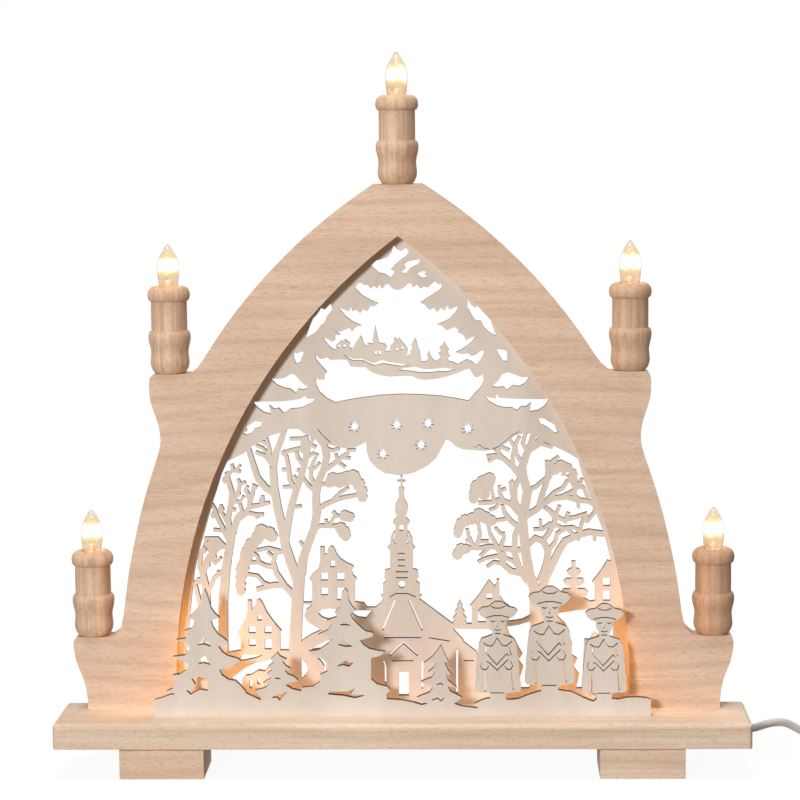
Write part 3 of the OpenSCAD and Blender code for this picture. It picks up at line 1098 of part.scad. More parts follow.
// Countersunk wood screw standing on its head, with a gap all round
module screw_body(gap) {
    rotate_extrude($fn = 16) polygon([
        [0, 0], [screw_head_d / 2 + gap, 0], [screw_d / 2 + gap, screw_head_d / 3],
        [screw_d / 2 + gap, screw_l - screw_d], [0, screw_l + gap]
    ]);
}

module screw_hole() {
    screw_body(pilot);
    translate([0, 0, -cut]) cylinder(r = screw_head_d / 2 + pilot, h = cut, $fn = 16);
}

module long_screws() {
    color("silver") long_screw_places() screw_body(0);
}

// Pan head screw pointing down from its seat
module small_screw(gap) {
    translate([0, 0, -small_screw_l - gap]) cylinder(d = small_screw_d + 2 * gap, h = small_screw_l + gap, $fn = 24);
}

module small_hole() {
    small_screw(pilot);
}

module small_screws() {
    color("silver") union() {
        holder_screw_places() pan_screw();
        clamp_screw_places() pan_screw();
    }
}

module pan_screw() {
    translate([0, 0, -small_screw_l]) cylinder(d = small_screw_d, h = small_screw_l + cut, $fn = 24);
    cylinder(d = 1.6 * small_screw_d, h = small_screw_d / 2, $fn = 24);
}

// Panel pins stand in the middle of the rebate, in shares of the opening
brad_share = [0.12, 0.38, 0.62, 0.86];
function brad_spots() = let (n = len(opening_half) - 1) [
    for (s = [1, -1]) for (k = brad_share)
        let (i = round(n * k), way = opening_half[i] - opening_half[i - 1])
        let (p = opening_half[i] + [-way[1], way[0]] / norm(way) * rebate_w / 2)
        [s * p[0], p[1]]
];

module brad_places() {
    for (p = brad_spots()) translate([p[0], back_y - rebate_d + panel_t, top_z + p[1]]) rotate([90, 0, 0]) children();
}

module brad_hole() {
    translate([0, 0, -cut]) cylinder(d = brad_d + 2 * seat, h = brad_l + cut + loose, $fn = 16);
}

module brad_dots() {
    for (p = brad_spots()) translate(p) circle(d = brad_d + 2 * seat, $fn = 16);
}

module panel_pins() {
    color("silver") brad_places() union() {
        cylinder(d = brad_d, h = brad_l, $fn = 16);
        translate([0, 0, -brad_d / 2]) cylinder(d = 2 * brad_d, h = brad_d / 2, $fn = 16);
    }
}

// Mains lead

// Where the lead meets the wire inside the base
lead_joint = 190;
// Ways of the lead from the base to the coil, and from the coil to the plug
run_route = [
    [190, 7, 23.5], [200, 7, 23.5], [210, 7, 23.5], [218, 7, 23.5], [224, 10, 23.6], [231, 17, 23.7], [238, 24, 23],
    [246, 31, 20.6], [256, 38, 14], [267, 44, 7], [278, 47, 3.4]
];
coil_at = [302, 8];
coil_loops = 7;
coil_layers = 2;
cord_r = cord_d / 2;
coil_pitch = 1.15 * cord_d;
coil_mean_r = 5.5 * cord_d;
coil_steps = 24;
coil_gap = 0.4;
coil_out_r = coil_mean_r + coil_pitch * coil_loops / (2 * coil_layers);

// Place on the coil after t loops: in on the table, up a layer as it turns back, and out again
function coil_place(t) =
    let (half = coil_loops / 2, r = coil_out_r - coil_pitch * (t < half ? t : coil_loops - t))
    let (rise = min(max((t - half) * 2 + 0.5, 0), 1))
    [coil_at[0] + r * sin(t * 360), coil_at[1] + r * cos(t * 360), cord_r + coil_pitch * rise];
coil_turns = [for (i = [0 : coil_loops * coil_steps]) coil_place(i / coil_steps)];
ahead = [cord_d, 0, 0];
coil_ends = [coil_turns[0] - ahead, coil_turns[len(coil_turns) - 1] + ahead];
coil_path = concat([coil_ends[0]], coil_turns, [coil_ends[1]]);
least_gap = min([for (i = [0 : len(coil_path) - 1]) for (j = [i + coil_steps / 2 : 1 : len(coil_path) - 1])
    norm(coil_path[i] - coil_path[j])]) - cord_d;
echo(least_coil_gap = least_gap, gap_is_enough = least_gap > coil_gap);

plug_at = coil_ends[1] + [50, -17, plug_t / 2 - coil_ends[1][2]];
boot_l = 22;
run_path = smooth(concat(run_route, [for (k = [2, 1, 0]) coil_ends[0] - k * ahead]), 3);
tail_path = smooth(concat(
    [for (k = [0, 1, 2]) coil_ends[1] + k * ahead], [(coil_ends[1] + plug_at) / 2], [for (k = [2, 1, 0]) plug_at - k * ahead]
), 4);

// Tube of flat sides swept along the places; its first and last ring stand square to the way
module tube(path, r, sides) {
    last = len(path) - 1;
    rings = [for (i = [0 : last])
        let (way = path[min(i + 1, last)] - path[max(i - 1, 0)], along = way / norm(way))
        let (side = cross(along, [0, 0, 1]) / norm(cross(along, [0, 0, 1])), up = cross(side, along))
        for (k = [0 : sides - 1]) let (a = 360 * (k + 0.5) / sides)
            path[i] + r * (cos(a) * side + sin(a) * up)];
    walls = [for (i = [0 : last - 1]) for (k = [0 : sides - 1])
        let (a = i * sides + k, b = i * sides + (k + 1) % sides)
        for (f = [[a, b, b + sides], [a, b + sides, a + sides]]) f];
    ends = [for (k = [1 : sides - 2]) for (f = [[0, k + 1, k], [last * sides, last * sides + k, last * sides + k + 1]]) f];
    polyhedron(rings, concat(walls, ends), convexity = 6);
}

plug_half_share = [[0, 0.17], [0.12, 0.2], [0.34, 0.4], [0.6, 0.5], [1, 0.5]];
plug_side_share = [[0, 0.36], [0.3, 0.46], [0.6, 0.5], [1, 0.5]];
function closed(half) = concat(half, [for (p = backwards(half)) [p[0], -p[1]]]);

// Flat two-pin plug with a tapered boot
module plug_body() {
    body_x = boot_l;
    color("white") translate(plug_at) union() {
        rotate([0, 90, 0]) cylinder(r1 = 1.2 * cord_r, r2 = 0.34 * plug_t, h = boot_l + cut, $fn = 24);
        intersection() {
            translate([body_x, 0, -plug_t / 2]) linear_extrude(plug_t) polygon(closed(sized(plug_half_share, plug_l, plug_w)));
            translate([body_x, plug_w / 2, 0]) rotate([90, 0, 0]) linear_extrude(plug_w) polygon(closed(sized(plug_side_share, plug_l, plug_t)));
            translate([body_x, 0, 0]) rotate([90, 0, 90]) linear_extrude(plug_l) polygon([
                [plug_w / 2, 0], [plug_w * 0.36, plug_t / 2], [-plug_w * 0.36, plug_t / 2],
                [-plug_w / 2, 0], [-plug_w * 0.36, -plug_t / 2], [plug_w * 0.36, -plug_t / 2]]);
        }
    }
}

module plug_pins() {
    color("silver") for (s = [1, -1]) translate(plug_at + [boot_l + plug_l, s * pin_gap / 2, 0]) rotate([0, 90, 0]) union() {
        cylinder(d = pin_d, h = pin_l - pin_d / 4, $fn = 16);
        translate([0, 0, pin_l - pin_d / 4]) cylinder(d1 = pin_d, d2 = pin_d * 0.6, h = pin_d / 4, $fn = 16);
    }
}

base_board();
foot(-1);  // foot_left
foot(1);  // foot_right
arch_frame();
back_panel();
front_panel();
candle(top_spot);  // candle_top
candle(left(high_spot));  // candle_high_left
candle(high_spot);  // candle_high_right
candle(left(low_spot));  // candle_low_left
candle(low_spot);  // candle_low_right
socket(top_spot);  // socket_top
socket(left(high_spot));  // socket_high_left
socket(high_spot);  // socket_high_right
socket(left(low_spot));  // socket_low_left
socket(low_spot);  // socket_low_right
holder(left(inner_spot));  // holder_left
holder(inner_spot);  // holder_right
socket_shells();
socket_rivets();
glass(top_spot);  // glass_top
glass(left(high_spot));  // glass_high_left
glass(high_spot);  // glass_high_right
glass(left(low_spot));  // glass_low_left
glass(low_spot);  // glass_low_right
glass(left(inner_spot));  // glass_inner_left
glass(inner_spot);  // glass_inner_right
cap(top_spot);  // cap_top
cap(left(high_spot));  // cap_high_left
cap(high_spot);  // cap_high_right
cap(left(low_spot));  // cap_low_left
cap(low_spot);  // cap_low_right
cap(left(inner_spot));  // cap_inner_left
cap(inner_spot);  // cap_inner_right
contact(top_spot);  // contact_top
contact(left(high_spot));  // contact_high_left
contact(high_spot);  // contact_high_right
contact(left(low_spot));  // contact_low_left
contact(low_spot);  // contact_low_right
contact(left(inner_spot));  // contact_inner_left
contact(inner_spot);  // contact_inner_right
filament(top_spot);  // filament_top
filament(left(high_spot));  // filament_high_left
filament(high_spot);  // filament_high_right
filament(left(low_spot));  // filament_low_left
filament(low_spot);  // filament_low_right
filament(left(inner_spot));  // filament_inner_left
filament(inner_spot);  // filament_inner_right
wiring_loom();
wire_clips();
cord_clamp();
long_screws();
small_screws();
panel_pins();
color("white") tube(run_path, cord_r, 8);  // cord_run
color("white") tube(coil_path, cord_r, 6);  // cord_coil
color("white") tube(tail_path, cord_r, 8);  // cord_tail
plug_body();
plug_pins();
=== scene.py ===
# Lit candle arch of beech with two fretwork panels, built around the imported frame.
import math

import bmesh
import bpy
from mathutils import Matrix, Vector


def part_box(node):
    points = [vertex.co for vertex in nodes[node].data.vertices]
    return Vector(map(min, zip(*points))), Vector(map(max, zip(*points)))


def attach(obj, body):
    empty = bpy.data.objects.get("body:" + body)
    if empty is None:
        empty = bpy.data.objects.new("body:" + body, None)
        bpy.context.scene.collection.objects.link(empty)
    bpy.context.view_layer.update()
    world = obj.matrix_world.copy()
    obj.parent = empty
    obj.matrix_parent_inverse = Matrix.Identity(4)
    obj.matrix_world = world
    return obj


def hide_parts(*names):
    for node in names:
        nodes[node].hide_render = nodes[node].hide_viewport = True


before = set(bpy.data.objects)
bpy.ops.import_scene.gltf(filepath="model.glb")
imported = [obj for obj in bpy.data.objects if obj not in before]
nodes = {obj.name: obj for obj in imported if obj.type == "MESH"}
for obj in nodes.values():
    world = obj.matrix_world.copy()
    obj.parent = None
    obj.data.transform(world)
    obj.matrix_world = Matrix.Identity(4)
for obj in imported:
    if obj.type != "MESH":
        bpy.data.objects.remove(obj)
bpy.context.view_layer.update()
print("frame loaded with", len(nodes), "nodes")

mm = 0.001
candleSpots = ("top", "high_left", "high_right", "low_left", "low_right")
lampSpots = candleSpots + ("inner_left", "inner_right")

# The camera stands where the photograph was taken from
cameraSet = {
    "place": (0.053, -1.4806, 0.4204), "yaw": -2.023, "pitch": -7.122, "roll": -0.61,
    "lens": 108.0, "sensor": 36.0}


def makeCamera(s):
    yaw, pitch, roll = (math.radians(s[k]) for k in ("yaw", "pitch", "roll"))
    forward = Vector((math.sin(yaw) * math.cos(pitch), math.cos(yaw) * math.cos(pitch), math.sin(pitch)))
    right = Vector((math.cos(yaw), -math.sin(yaw), 0))
    up = right.cross(forward)
    across = right * math.cos(roll) + up * math.sin(roll)
    upright = up * math.cos(roll) - right * math.sin(roll)
    data = bpy.data.cameras.new("camera")
    data.lens, data.sensor_width = s["lens"], s["sensor"]
    camera = bpy.data.objects.new("camera", data)
    bpy.context.scene.collection.objects.link(camera)
    turn = Matrix((across, upright, -forward)).transposed().to_4x4()
    camera.matrix_world = Matrix.Translation(s["place"]) @ turn
    bpy.context.scene.camera = camera


makeCamera(cameraSet)


# Colours are written as they are seen, and turned into linear ones here
def shade(code):
    values = [int(code[i:i + 2], 16) / 255 for i in (1, 3, 5)]
    return tuple(v / 12.92 if v <= 0.04045 else ((v + 0.055) / 1.055) ** 2.4 for v in values) + (1.0,)


def put(tree, kind, inputs=None, **values):
    node = tree.nodes.new(kind)
    for key, value in values.items():
        setattr(node, key, value)
    for key, value in (inputs or {}).items():
        if isinstance(value, bpy.types.NodeSocket):
            tree.links.new(value, node.inputs[key])
        else:
            node.inputs[key].default_value = value
    return node


def newMaterial(name):
    material = bpy.data.materials.new(name)
    material.use_nodes = True
    material.node_tree.nodes.clear()
    return material, material.node_tree


def calc(tree, operation, *values):
    return put(tree, "ShaderNodeMath", dict(enumerate(values)), operation=operation).outputs[0]


# A value between low and high becomes 0 to 1
def spread(tree, value, low, high):
    return put(tree, "ShaderNodeMapRange", {0: value, 1: low, 2: high, 3: 0.0, 4: 1.0},
               interpolation_type="SMOOTHSTEP").outputs[0]


def blended(tree, share, first, second):
    return put(tree, "ShaderNodeMix", {0: share, 6: first, 7: second}, data_type="RGBA").outputs[2]


def scaled(tree, place, scale):
    return put(tree, "ShaderNodeMapping", {"Vector": place, "Scale": scale}).outputs[0]


def noise(tree, place, scale, detail=2.0, rough=0.5):
    return put(tree, "ShaderNodeTexNoise",
               {"Vector": place, "Scale": scale, "Detail": detail, "Roughness": rough}).outputs["Fac"]


# Noise drawn out along the grain: scale along it, scale across it, detail, roughness
def grainNoise(tree, place, grain, pattern):
    along, across, detail, rough = pattern
    scale = [across] * 3
    scale["xyz".index(grain)] = along
    return noise(tree, scaled(tree, place, scale), 1.0, detail, rough)


def bumped(tree, strength, depth, height):
    return put(tree, "ShaderNodeBump", {"Strength": strength, "Distance": depth, "Height": height}).outputs[0]


def finish(tree, surface):
    put(tree, "ShaderNodeOutputMaterial", {"Surface": surface})


# Beech: pinkish ground, faint growth lines, short dark rays along the grain, darker end grain
def woodMaterial(name, s):
    material, tree = newMaterial(name)
    coords = put(tree, "ShaderNodeTexCoord")
    place = put(tree, "ShaderNodeMapping", {
        "Vector": coords.outputs["Object"], "Location": s["shift"]}).outputs[0]
    broad, bend, rays, streaks, pores = (
        grainNoise(tree, place, s["grain"], s[part])
        for part in ("broad", "bend", "rays", "streaks", "pores"))
    crossPlace = put(tree, "ShaderNodeSeparateXYZ", {0: place}).outputs[2 if s["grain"] == "x" else 0]
    straight = calc(tree, "MULTIPLY", crossPlace, s["lines"])
    wave = calc(tree, "SINE", calc(tree, "ADD", straight, calc(tree, "MULTIPLY", bend, s["waver"])))
    lines = calc(tree, "POWER", calc(tree, "MULTIPLY_ADD", wave, 0.5, 0.5), s["lineSharp"])
    rays = spread(tree, rays, *s["rayRange"])
    streaks = spread(tree, streaks, *s["streakRange"])
    colour = blended(tree, spread(tree, broad, *s["toneRange"]), shade(s["light"]), shade(s["dark"]))
    for mark, depth, code in ((lines, "lineDepth", "line"), (rays, "rayDepth", "ray"),
                              (streaks, "streakDepth", "line"), (pores, "poreDepth", "dark")):
        colour = blended(tree, calc(tree, "MULTIPLY", mark, s[depth]), colour, shade(s[code]))
    normal = put(tree, "ShaderNodeSeparateXYZ", {0: coords.outputs["Normal"]}).outputs
    facing = normal["xyz".index(s["grain"])]
    ends = spread(tree, calc(tree, "ABSOLUTE", facing), *s["endRange"])
    specks = noise(tree, scaled(tree, place, (s["speckScale"],) * 3), 1.0, 1.0, 0.5)
    endColour = blended(tree, spread(tree, specks, *s["speckRange"]), shade(s["end"]), shade(s["endDark"]))
    colour = blended(tree, calc(tree, "MULTIPLY", ends, s["endShare"]), colour, endColour)
    grooves = calc(tree, "MULTIPLY", rays, s["rayGroove"])
    height = calc(tree, "SUBTRACT", calc(tree, "MULTIPLY", pores, s["poreHeight"]), grooves)
    finish(tree, put(tree, "ShaderNodeBsdfPrincipled", {
        "Base Color": colour, "Normal": bumped(tree, s["bump"], s["bumpDepth"], height),
        "Roughness": calc(tree, "MULTIPLY_ADD", pores, s["roughSpread"], s["rough"]),
        "Specular IOR Level": s["gloss"]}).outputs[0])
    return material


beech = {
    "light": "#ecd3be", "dark": "#dfc2aa", "line": "#bf9676", "ray": "#99714f",
    "end": "#c8a384", "endDark": "#a9805f", "grain": "x", "shift": (0.0, 0.0, 0.0),
    "broad": (5.0, 26.0, 3.0, 0.55), "toneRange": (0.3, 0.7),
    "bend": (3.0, 9.0, 2.0, 0.5), "lines": 420.0, "waver": 26.0, "lineSharp": 3.0, "lineDepth": 0.26,
    "rays": (250.0, 2200.0, 1.0, 0.4), "rayRange": (0.55, 0.67), "rayDepth": 0.32, "rayGroove": 0.7,
    "streaks": (14.0, 420.0, 2.0, 0.6), "streakRange": (0.42, 0.72), "streakDepth": 0.26,
    "pores": (420.0, 2600.0, 1.0, 0.5), "poreDepth": 0.16, "poreHeight": 0.5,
    "speckScale": 1500.0, "speckRange": (0.35, 0.7), "endRange": (0.25, 1.0), "endShare": 0.5,
    "bump": 0.4, "bumpDepth": 0.0002, "rough": 0.5, "roughSpread": 0.2, "gloss": 0.35}
archWood = woodMaterial("arch_beech", beech)
baseWood = woodMaterial("base_beech", {
    **beech, "light": "#f4e2d0", "dark": "#e9d3bd", "shift": (0.3, 0.1, 0.55), "lines": 520.0})
# The feet get a lighter copy of the beech: painted light that makes up for the shade under the base board
footWoodPaintedLighter = woodMaterial("foot_beech_painted_lighter", {
    **beech, "light": "#fbe6d2", "dark": "#efd3b9", "shift": (0.7, 0.4, 0.25)})
candleBeech = {
    **beech, "light": "#f0d3ba", "dark": "#dab698", "line": "#b08564", "ray": "#8a6545",
    "end": "#dab697", "endDark": "#a88262", "grain": "z", "shift": (0.05, 0.2, 0.1),
    "lines": 900.0, "lineDepth": 0.28, "rays": (340.0, 2900.0, 1.0, 0.4), "rayDepth": 0.34,
    "streakDepth": 0.5, "endShare": 0.4}
candleWood = woodMaterial("candle_beech", candleBeech)
# A darker, redder copy of the candle wood, used for the low right candle
redCandleWood = woodMaterial("candle_beech_red", {**candleBeech, "light": "#dcb596", "dark": "#c39a79"})


# Plywood: even pale face, scorched brown where the beam cut it
def plyMaterial(name, s):
    material, tree = newMaterial(name)
    coords = put(tree, "ShaderNodeTexCoord")
    place = coords.outputs["Object"]
    broad = grainNoise(tree, place, "z", s["broad"])
    fibres = grainNoise(tree, place, "z", s["fibres"])
    colour = blended(tree, spread(tree, broad, *s["toneRange"]), shade(s["light"]), shade(s["dark"]))
    streaks = calc(tree, "MULTIPLY", spread(tree, fibres, *s["fibreRange"]), s["fibreDepth"])
    colour = blended(tree, streaks, colour, shade(s["fibre"]))
    facing = put(tree, "ShaderNodeSeparateXYZ", {0: coords.outputs["Normal"]}).outputs[1]
    cutSide = calc(tree, "LESS_THAN", calc(tree, "ABSOLUTE", facing), s["cutFacing"])
    scorch = noise(tree, scaled(tree, place, s["scorchScale"]), 1.0, 2.0, 0.5)
    burnt = blended(tree, scorch, shade(s["burnt"]), shade(s["burntLight"]))
    finish(tree, put(tree, "ShaderNodeBsdfPrincipled", {
        "Base Color": blended(tree, cutSide, colour, burnt),
        "Normal": bumped(tree, s["bump"], s["bumpDepth"], fibres),
        "Roughness": s["rough"], "Specular IOR Level": s["gloss"]}).outputs[0])
    return material


ply = {
    "light": "#e9e0d6", "dark": "#dfd4c9", "fibre": "#cec0b0", "burnt": "#4a3728", "burntLight": "#7d5f45",
    "broad": (6.0, 40.0, 3.0, 0.5), "toneRange": (0.3, 0.7),
    "fibres": (120.0, 1500.0, 2.0, 0.5), "fibreRange": (0.5, 0.75), "fibreDepth": 0.35,
    "scorchScale": (260.0, 60.0, 260.0), "cutFacing": 0.5,
    "bump": 0.15, "bumpDepth": 0.0001, "rough": 0.7, "gloss": 0.25}
panelPly = plyMaterial("fretwork_ply", ply)

# One finish with a little variation, for metal, plastic and sleeves
plain = {
    "metal": 0.0, "rough": 0.45, "roughSpread": 0.15, "bump": 0.05, "bumpDepth": 0.0001,
    "scale": 900.0, "detail": 3.0, "detailRough": 0.55}


def plainMaterial(name, light, dark, **own):
    s = {**plain, **own}
    material, tree = newMaterial(name)
    place = put(tree, "ShaderNodeTexCoord").outputs["Object"]
    grain = noise(tree, place, s["scale"], s["detail"], s["detailRough"])
    finish(tree, put(tree, "ShaderNodeBsdfPrincipled", {
        "Base Color": blended(tree, grain, shade(light), shade(dark)),
        "Normal": bumped(tree, s["bump"], s["bumpDepth"], grain), "Metallic": s["metal"],
        "Roughness": calc(tree, "MULTIPLY_ADD", grain, s["roughSpread"], s["rough"])}).outputs[0])
    return material


brass = plainMaterial("brass", "#d9b56a", "#b98f45", metal=1.0, rough=0.28, bump=0.1)
steel = plainMaterial("zinc_steel", "#c9ccd0", "#9fa3a8", metal=1.0, rough=0.3, bump=0.1)
solder = plainMaterial("solder", "#c4c6c8", "#9c9ea0", metal=1.0, rough=0.42, bump=0.1)
sleevePlastic = plainMaterial("sleeve_plastic", "#efe7d6", "#e4d9c4")
cordPlastic = plainMaterial("lead_plastic", "#f1f0ee", "#e4e3e1", rough=0.38, scale=500.0)
wirePlastic = plainMaterial("wire_plastic", "#e9e7e2", "#d9d6cf", rough=0.42)
stemGlass = plainMaterial("stem_glass", "#f3dcc2", "#e6c7a4", rough=0.25)


# Painted glow on the inner side of the glass, standing in for the wire's light spread in the glass: white
# round the wire, peach below, amber above
def lampGlow(tree, place, flaws, s):
    level = put(tree, "ShaderNodeAttribute", attribute_name="level").outputs["Fac"]
    level = calc(tree, "ADD", level, calc(tree, "MULTIPLY", calc(tree, "SUBTRACT", flaws, 0.5), s["ragged"]))
    up = calc(tree, "DIVIDE", calc(tree, "SUBTRACT", level, s["glowAt"]), s["glowHalf"])
    away = calc(tree, "ABSOLUTE", up)
    white = calc(tree, "SUBTRACT", 1.0, spread(tree, away, *s["whiteRange"]))
    fringe = calc(tree, "SUBTRACT", 1.0, spread(tree, away, *s["fringeRange"]))
    high = spread(tree, level, s["glowAt"], s["glowAt"] + s["highRise"])
    blotch = spread(tree, noise(tree, place, s["flawScale"], 1.0, 0.5), *s["blotchRange"])
    low = blended(tree, blotch, shade(s["peach"]), shade(s["ember"]))
    warm = blended(tree, fringe, blended(tree, high, low, shade(s["amber"])), shade(s["fringe"]))
    below = calc(tree, "SUBTRACT", 1.0, high)
    share = calc(tree, "MULTIPLY_ADD", below, s["peachShare"] - s["amberShare"], s["amberShare"])
    share = calc(tree, "ADD", share, calc(tree, "MULTIPLY_ADD", fringe, s["fringeShare"], white))
    colour = blended(tree, white, warm, shade(s["white"]))
    strength = calc(tree, "MULTIPLY_ADD", white, s["extra"], 1.0)
    glow = put(tree, "ShaderNodeEmission", {"Color": colour, "Strength": strength}).outputs[0]
    return calc(tree, "MINIMUM", share, 1.0), glow


# Lamp glass: clear, with a painted reflection that makes it greyer where the eye looks along the wall
def glassMaterial(name, s, glowing):
    material, tree = newMaterial(name)
    place = put(tree, "ShaderNodeTexCoord").outputs["Object"]
    flaws = noise(tree, place, s["flawScale"], 2.0, 0.5)
    grazing = put(tree, "ShaderNodeLayerWeight", {"Blend": s["grazing"]}).outputs["Facing"]
    # Painted reflection: the glass colour turns grey towards the outline, standing in for mirrored darker
    # surroundings
    tint = blended(tree, spread(tree, grazing, s["edgeFrom"], 1.0), shade(s["tint"]), shade(s["edge"]))
    surface = put(tree, "ShaderNodeBsdfPrincipled", {
        "Base Color": tint, "Roughness": s["rough"], "IOR": s["bending"], "Transmission Weight": 1.0,
        "Normal": bumped(tree, s["bump"], s["bumpDepth"], flaws)}).outputs[0]
    if glowing:
        share, glow = lampGlow(tree, place, flaws, s)
        surface = put(tree, "ShaderNodeMixShader", {0: share, 1: surface, 2: glow}).outputs[0]
    finish(tree, surface)
    return material


glassLook = {
    "tint": "#fffefa", "edge": "#2f2b26", "edgeFrom": 0.3, "grazing": 0.5, "rough": 0.02, "bending": 1.45,
    "flawScale": 260.0, "bump": 0.05, "bumpDepth": 0.0002,
    "glowAt": 0.5, "glowHalf": 0.2, "ragged": 0.22, "whiteRange": (0.5, 1.15), "fringeRange": (0.85, 1.6),
    "highRise": 0.2, "blotchRange": (0.42, 0.66), "white": "#fffbee", "extra": 0.3, "fringe": "#ffe69a",
    "fringeShare": 0.4, "peach": "#edc9a2", "ember": "#e2a873", "peachShare": 0.62,
    "amber": "#e0b274", "amberShare": 0.3}
clearGlass = glassMaterial("lamp_glass", glassLook, False)
glowGlass = glassMaterial("lamp_glass_inner_painted_glow", glassLook, True)

wireHeat = {"hot": "#ffe9c2", "warm": "#ffdca0", "scale": 900.0, "strength": 14.0}


def wireMaterial(name, s):
    material, tree = newMaterial(name)
    place = put(tree, "ShaderNodeTexCoord").outputs["Object"]
    heat = blended(tree, noise(tree, place, s["scale"]), shade(s["hot"]), shade(s["warm"]))
    finish(tree, put(tree, "ShaderNodeEmission", {"Color": heat, "Strength": s["strength"]}).outputs[0])
    return material


hotWire = wireMaterial("hot_filament", wireHeat)
print("materials ready")


# Mesh helpers
def newObject(name, mesh, *materials):
    piece = bpy.data.objects.new(name, mesh)
    bpy.context.scene.collection.objects.link(piece)
    for material in materials:
        mesh.materials.append(material)
    return piece


# One ring of a turned piece, or a single point on the axis
def turnedRing(build, r, z, centre, sides):
    if r < 1e-6:
        return [build.verts.new((centre[0], centre[1], centre[2] + z * mm))] * sides
    return [build.verts.new((centre[0] + r * mm * math.cos(2 * math.pi * k / sides),
                             centre[1] + r * mm * math.sin(2 * math.pi * k / sides),
                             centre[2] + z * mm)) for k in range(sides)]


# Closed outline of radius and height in millimetres, turned round an upright axis
def turned(name, outline, centre, sides, materials, crease, pick=None, levelSpan=None):
    build = bmesh.new()
    rings = [turnedRing(build, r, z, centre, sides) for r, z in outline]
    for i, lower in enumerate(rings):
        upper = rings[(i + 1) % len(rings)]
        for k in range(sides):
            corners = []
            for corner in (lower[k], lower[(k + 1) % sides], upper[(k + 1) % sides], upper[k]):
                if corner not in corners:
                    corners.append(corner)
            if len(corners) > 2:
                face = build.faces.new(corners)
                face.smooth = True
                face.material_index = pick[i] if pick else 0
    bmesh.ops.recalc_face_normals(build, faces=build.faces)
    mesh = bpy.data.meshes.new(name)
    build.to_mesh(mesh)
    build.free()
    mesh.set_sharp_from_angle(angle=math.radians(crease))
    if levelSpan:
        level = mesh.attributes.new("level", "FLOAT", "POINT")
        low, high = levelSpan
        for i, vert in enumerate(mesh.vertices):
            level.data[i].value = ((vert.co.z - centre[2]) / mm - low) / (high - low)
    return newObject(name, mesh, *materials)


def smoothLine(points, steps):
    out = []
    last = len(points) - 1
    for i in range(last):
        a, b, c, d = (points[max(i - 1, 0)], points[i], points[i + 1], points[min(i + 2, last)])
        for k in range(steps):
            t = k / steps
            out.append(tuple(
                (2 * b[n] + (c[n] - a[n]) * t + (2 * a[n] - 5 * b[n] + 4 * c[n] - d[n]) * t * t
                 + (3 * b[n] - a[n] - 3 * c[n] + d[n]) * t ** 3) / 2 for n in range(len(b))))
    out.append(tuple(points[last]))
    return out


# Round tube along points in metres, closed at its ends
def tubeMesh(build, path, radius, sides, materialIndex):
    rings = []
    side = None
    for i, point in enumerate(path):
        way = (path[min(i + 1, len(path) - 1)] - path[max(i - 1, 0)]).normalized()
        if side is None:
            side = way.orthogonal().normalized()
        side = (side - way * side.dot(way)).normalized()
        up = way.cross(side)
        ring = []
        for k in range(sides):
            angle = 2 * math.pi * k / sides
            ring.append(build.verts.new(point + (side * math.cos(angle) + up * math.sin(angle)) * radius))
        rings.append(ring)
    made = []
    for lower, upper in zip(rings, rings[1:]):
        for k in range(sides):
            after = (k + 1) % sides
            made.append(build.faces.new((lower[k], lower[after], upper[after], upper[k])))
    made.append(build.faces.new(rings[0][::-1]))
    made.append(build.faces.new(rings[-1]))
    for face in made:
        face.smooth = True
        face.material_index = materialIndex


# Geometry Nodes: a tree with named inputs, run once on an empty piece and kept as a plain mesh
def newGeometryTree(name, inputs):
    tree = bpy.data.node_groups.new(name, "GeometryNodeTree")
    tree.interface.new_socket("Geometry", in_out="OUTPUT", socket_type="NodeSocketGeometry")
    for label, kind, value in inputs:
        tree.interface.new_socket(label, in_out="INPUT", socket_type=kind).default_value = value
    return tree, tree.nodes.new("NodeGroupInput").outputs


def treeEnd(tree, geometry, material):
    real = put(tree, "GeometryNodeRealizeInstances", {0: geometry}).outputs[0]
    smooth = put(tree, "GeometryNodeSetShadeSmooth", {0: real}).outputs[0]
    dressed = put(tree, "GeometryNodeSetMaterial", {0: smooth, "Material": material}).outputs[0]
    tree.links.new(dressed, tree.nodes.new("NodeGroupOutput").inputs[0])


def grown(name, tree, values):
    carrier = newObject(name, bpy.data.meshes.new(name))
    modifier = carrier.modifiers.new("grow", "NODES")
    modifier.node_group = tree
    for item in tree.interface.items_tree:
        if item.item_type == "SOCKET" and item.in_out == "INPUT" and item.name in values:
            modifier[item.identifier] = values[item.name]
    bpy.context.view_layer.update()
    mesh = bpy.data.meshes.new_from_object(carrier.evaluated_get(bpy.context.evaluated_depsgraph_get()))
    bpy.data.objects.remove(carrier)
    return mesh


def circle(tree, sides, radius):
    return put(tree, "GeometryNodeCurvePrimitiveCircle", {"Resolution": sides, "Radius": radius}).outputs[0]


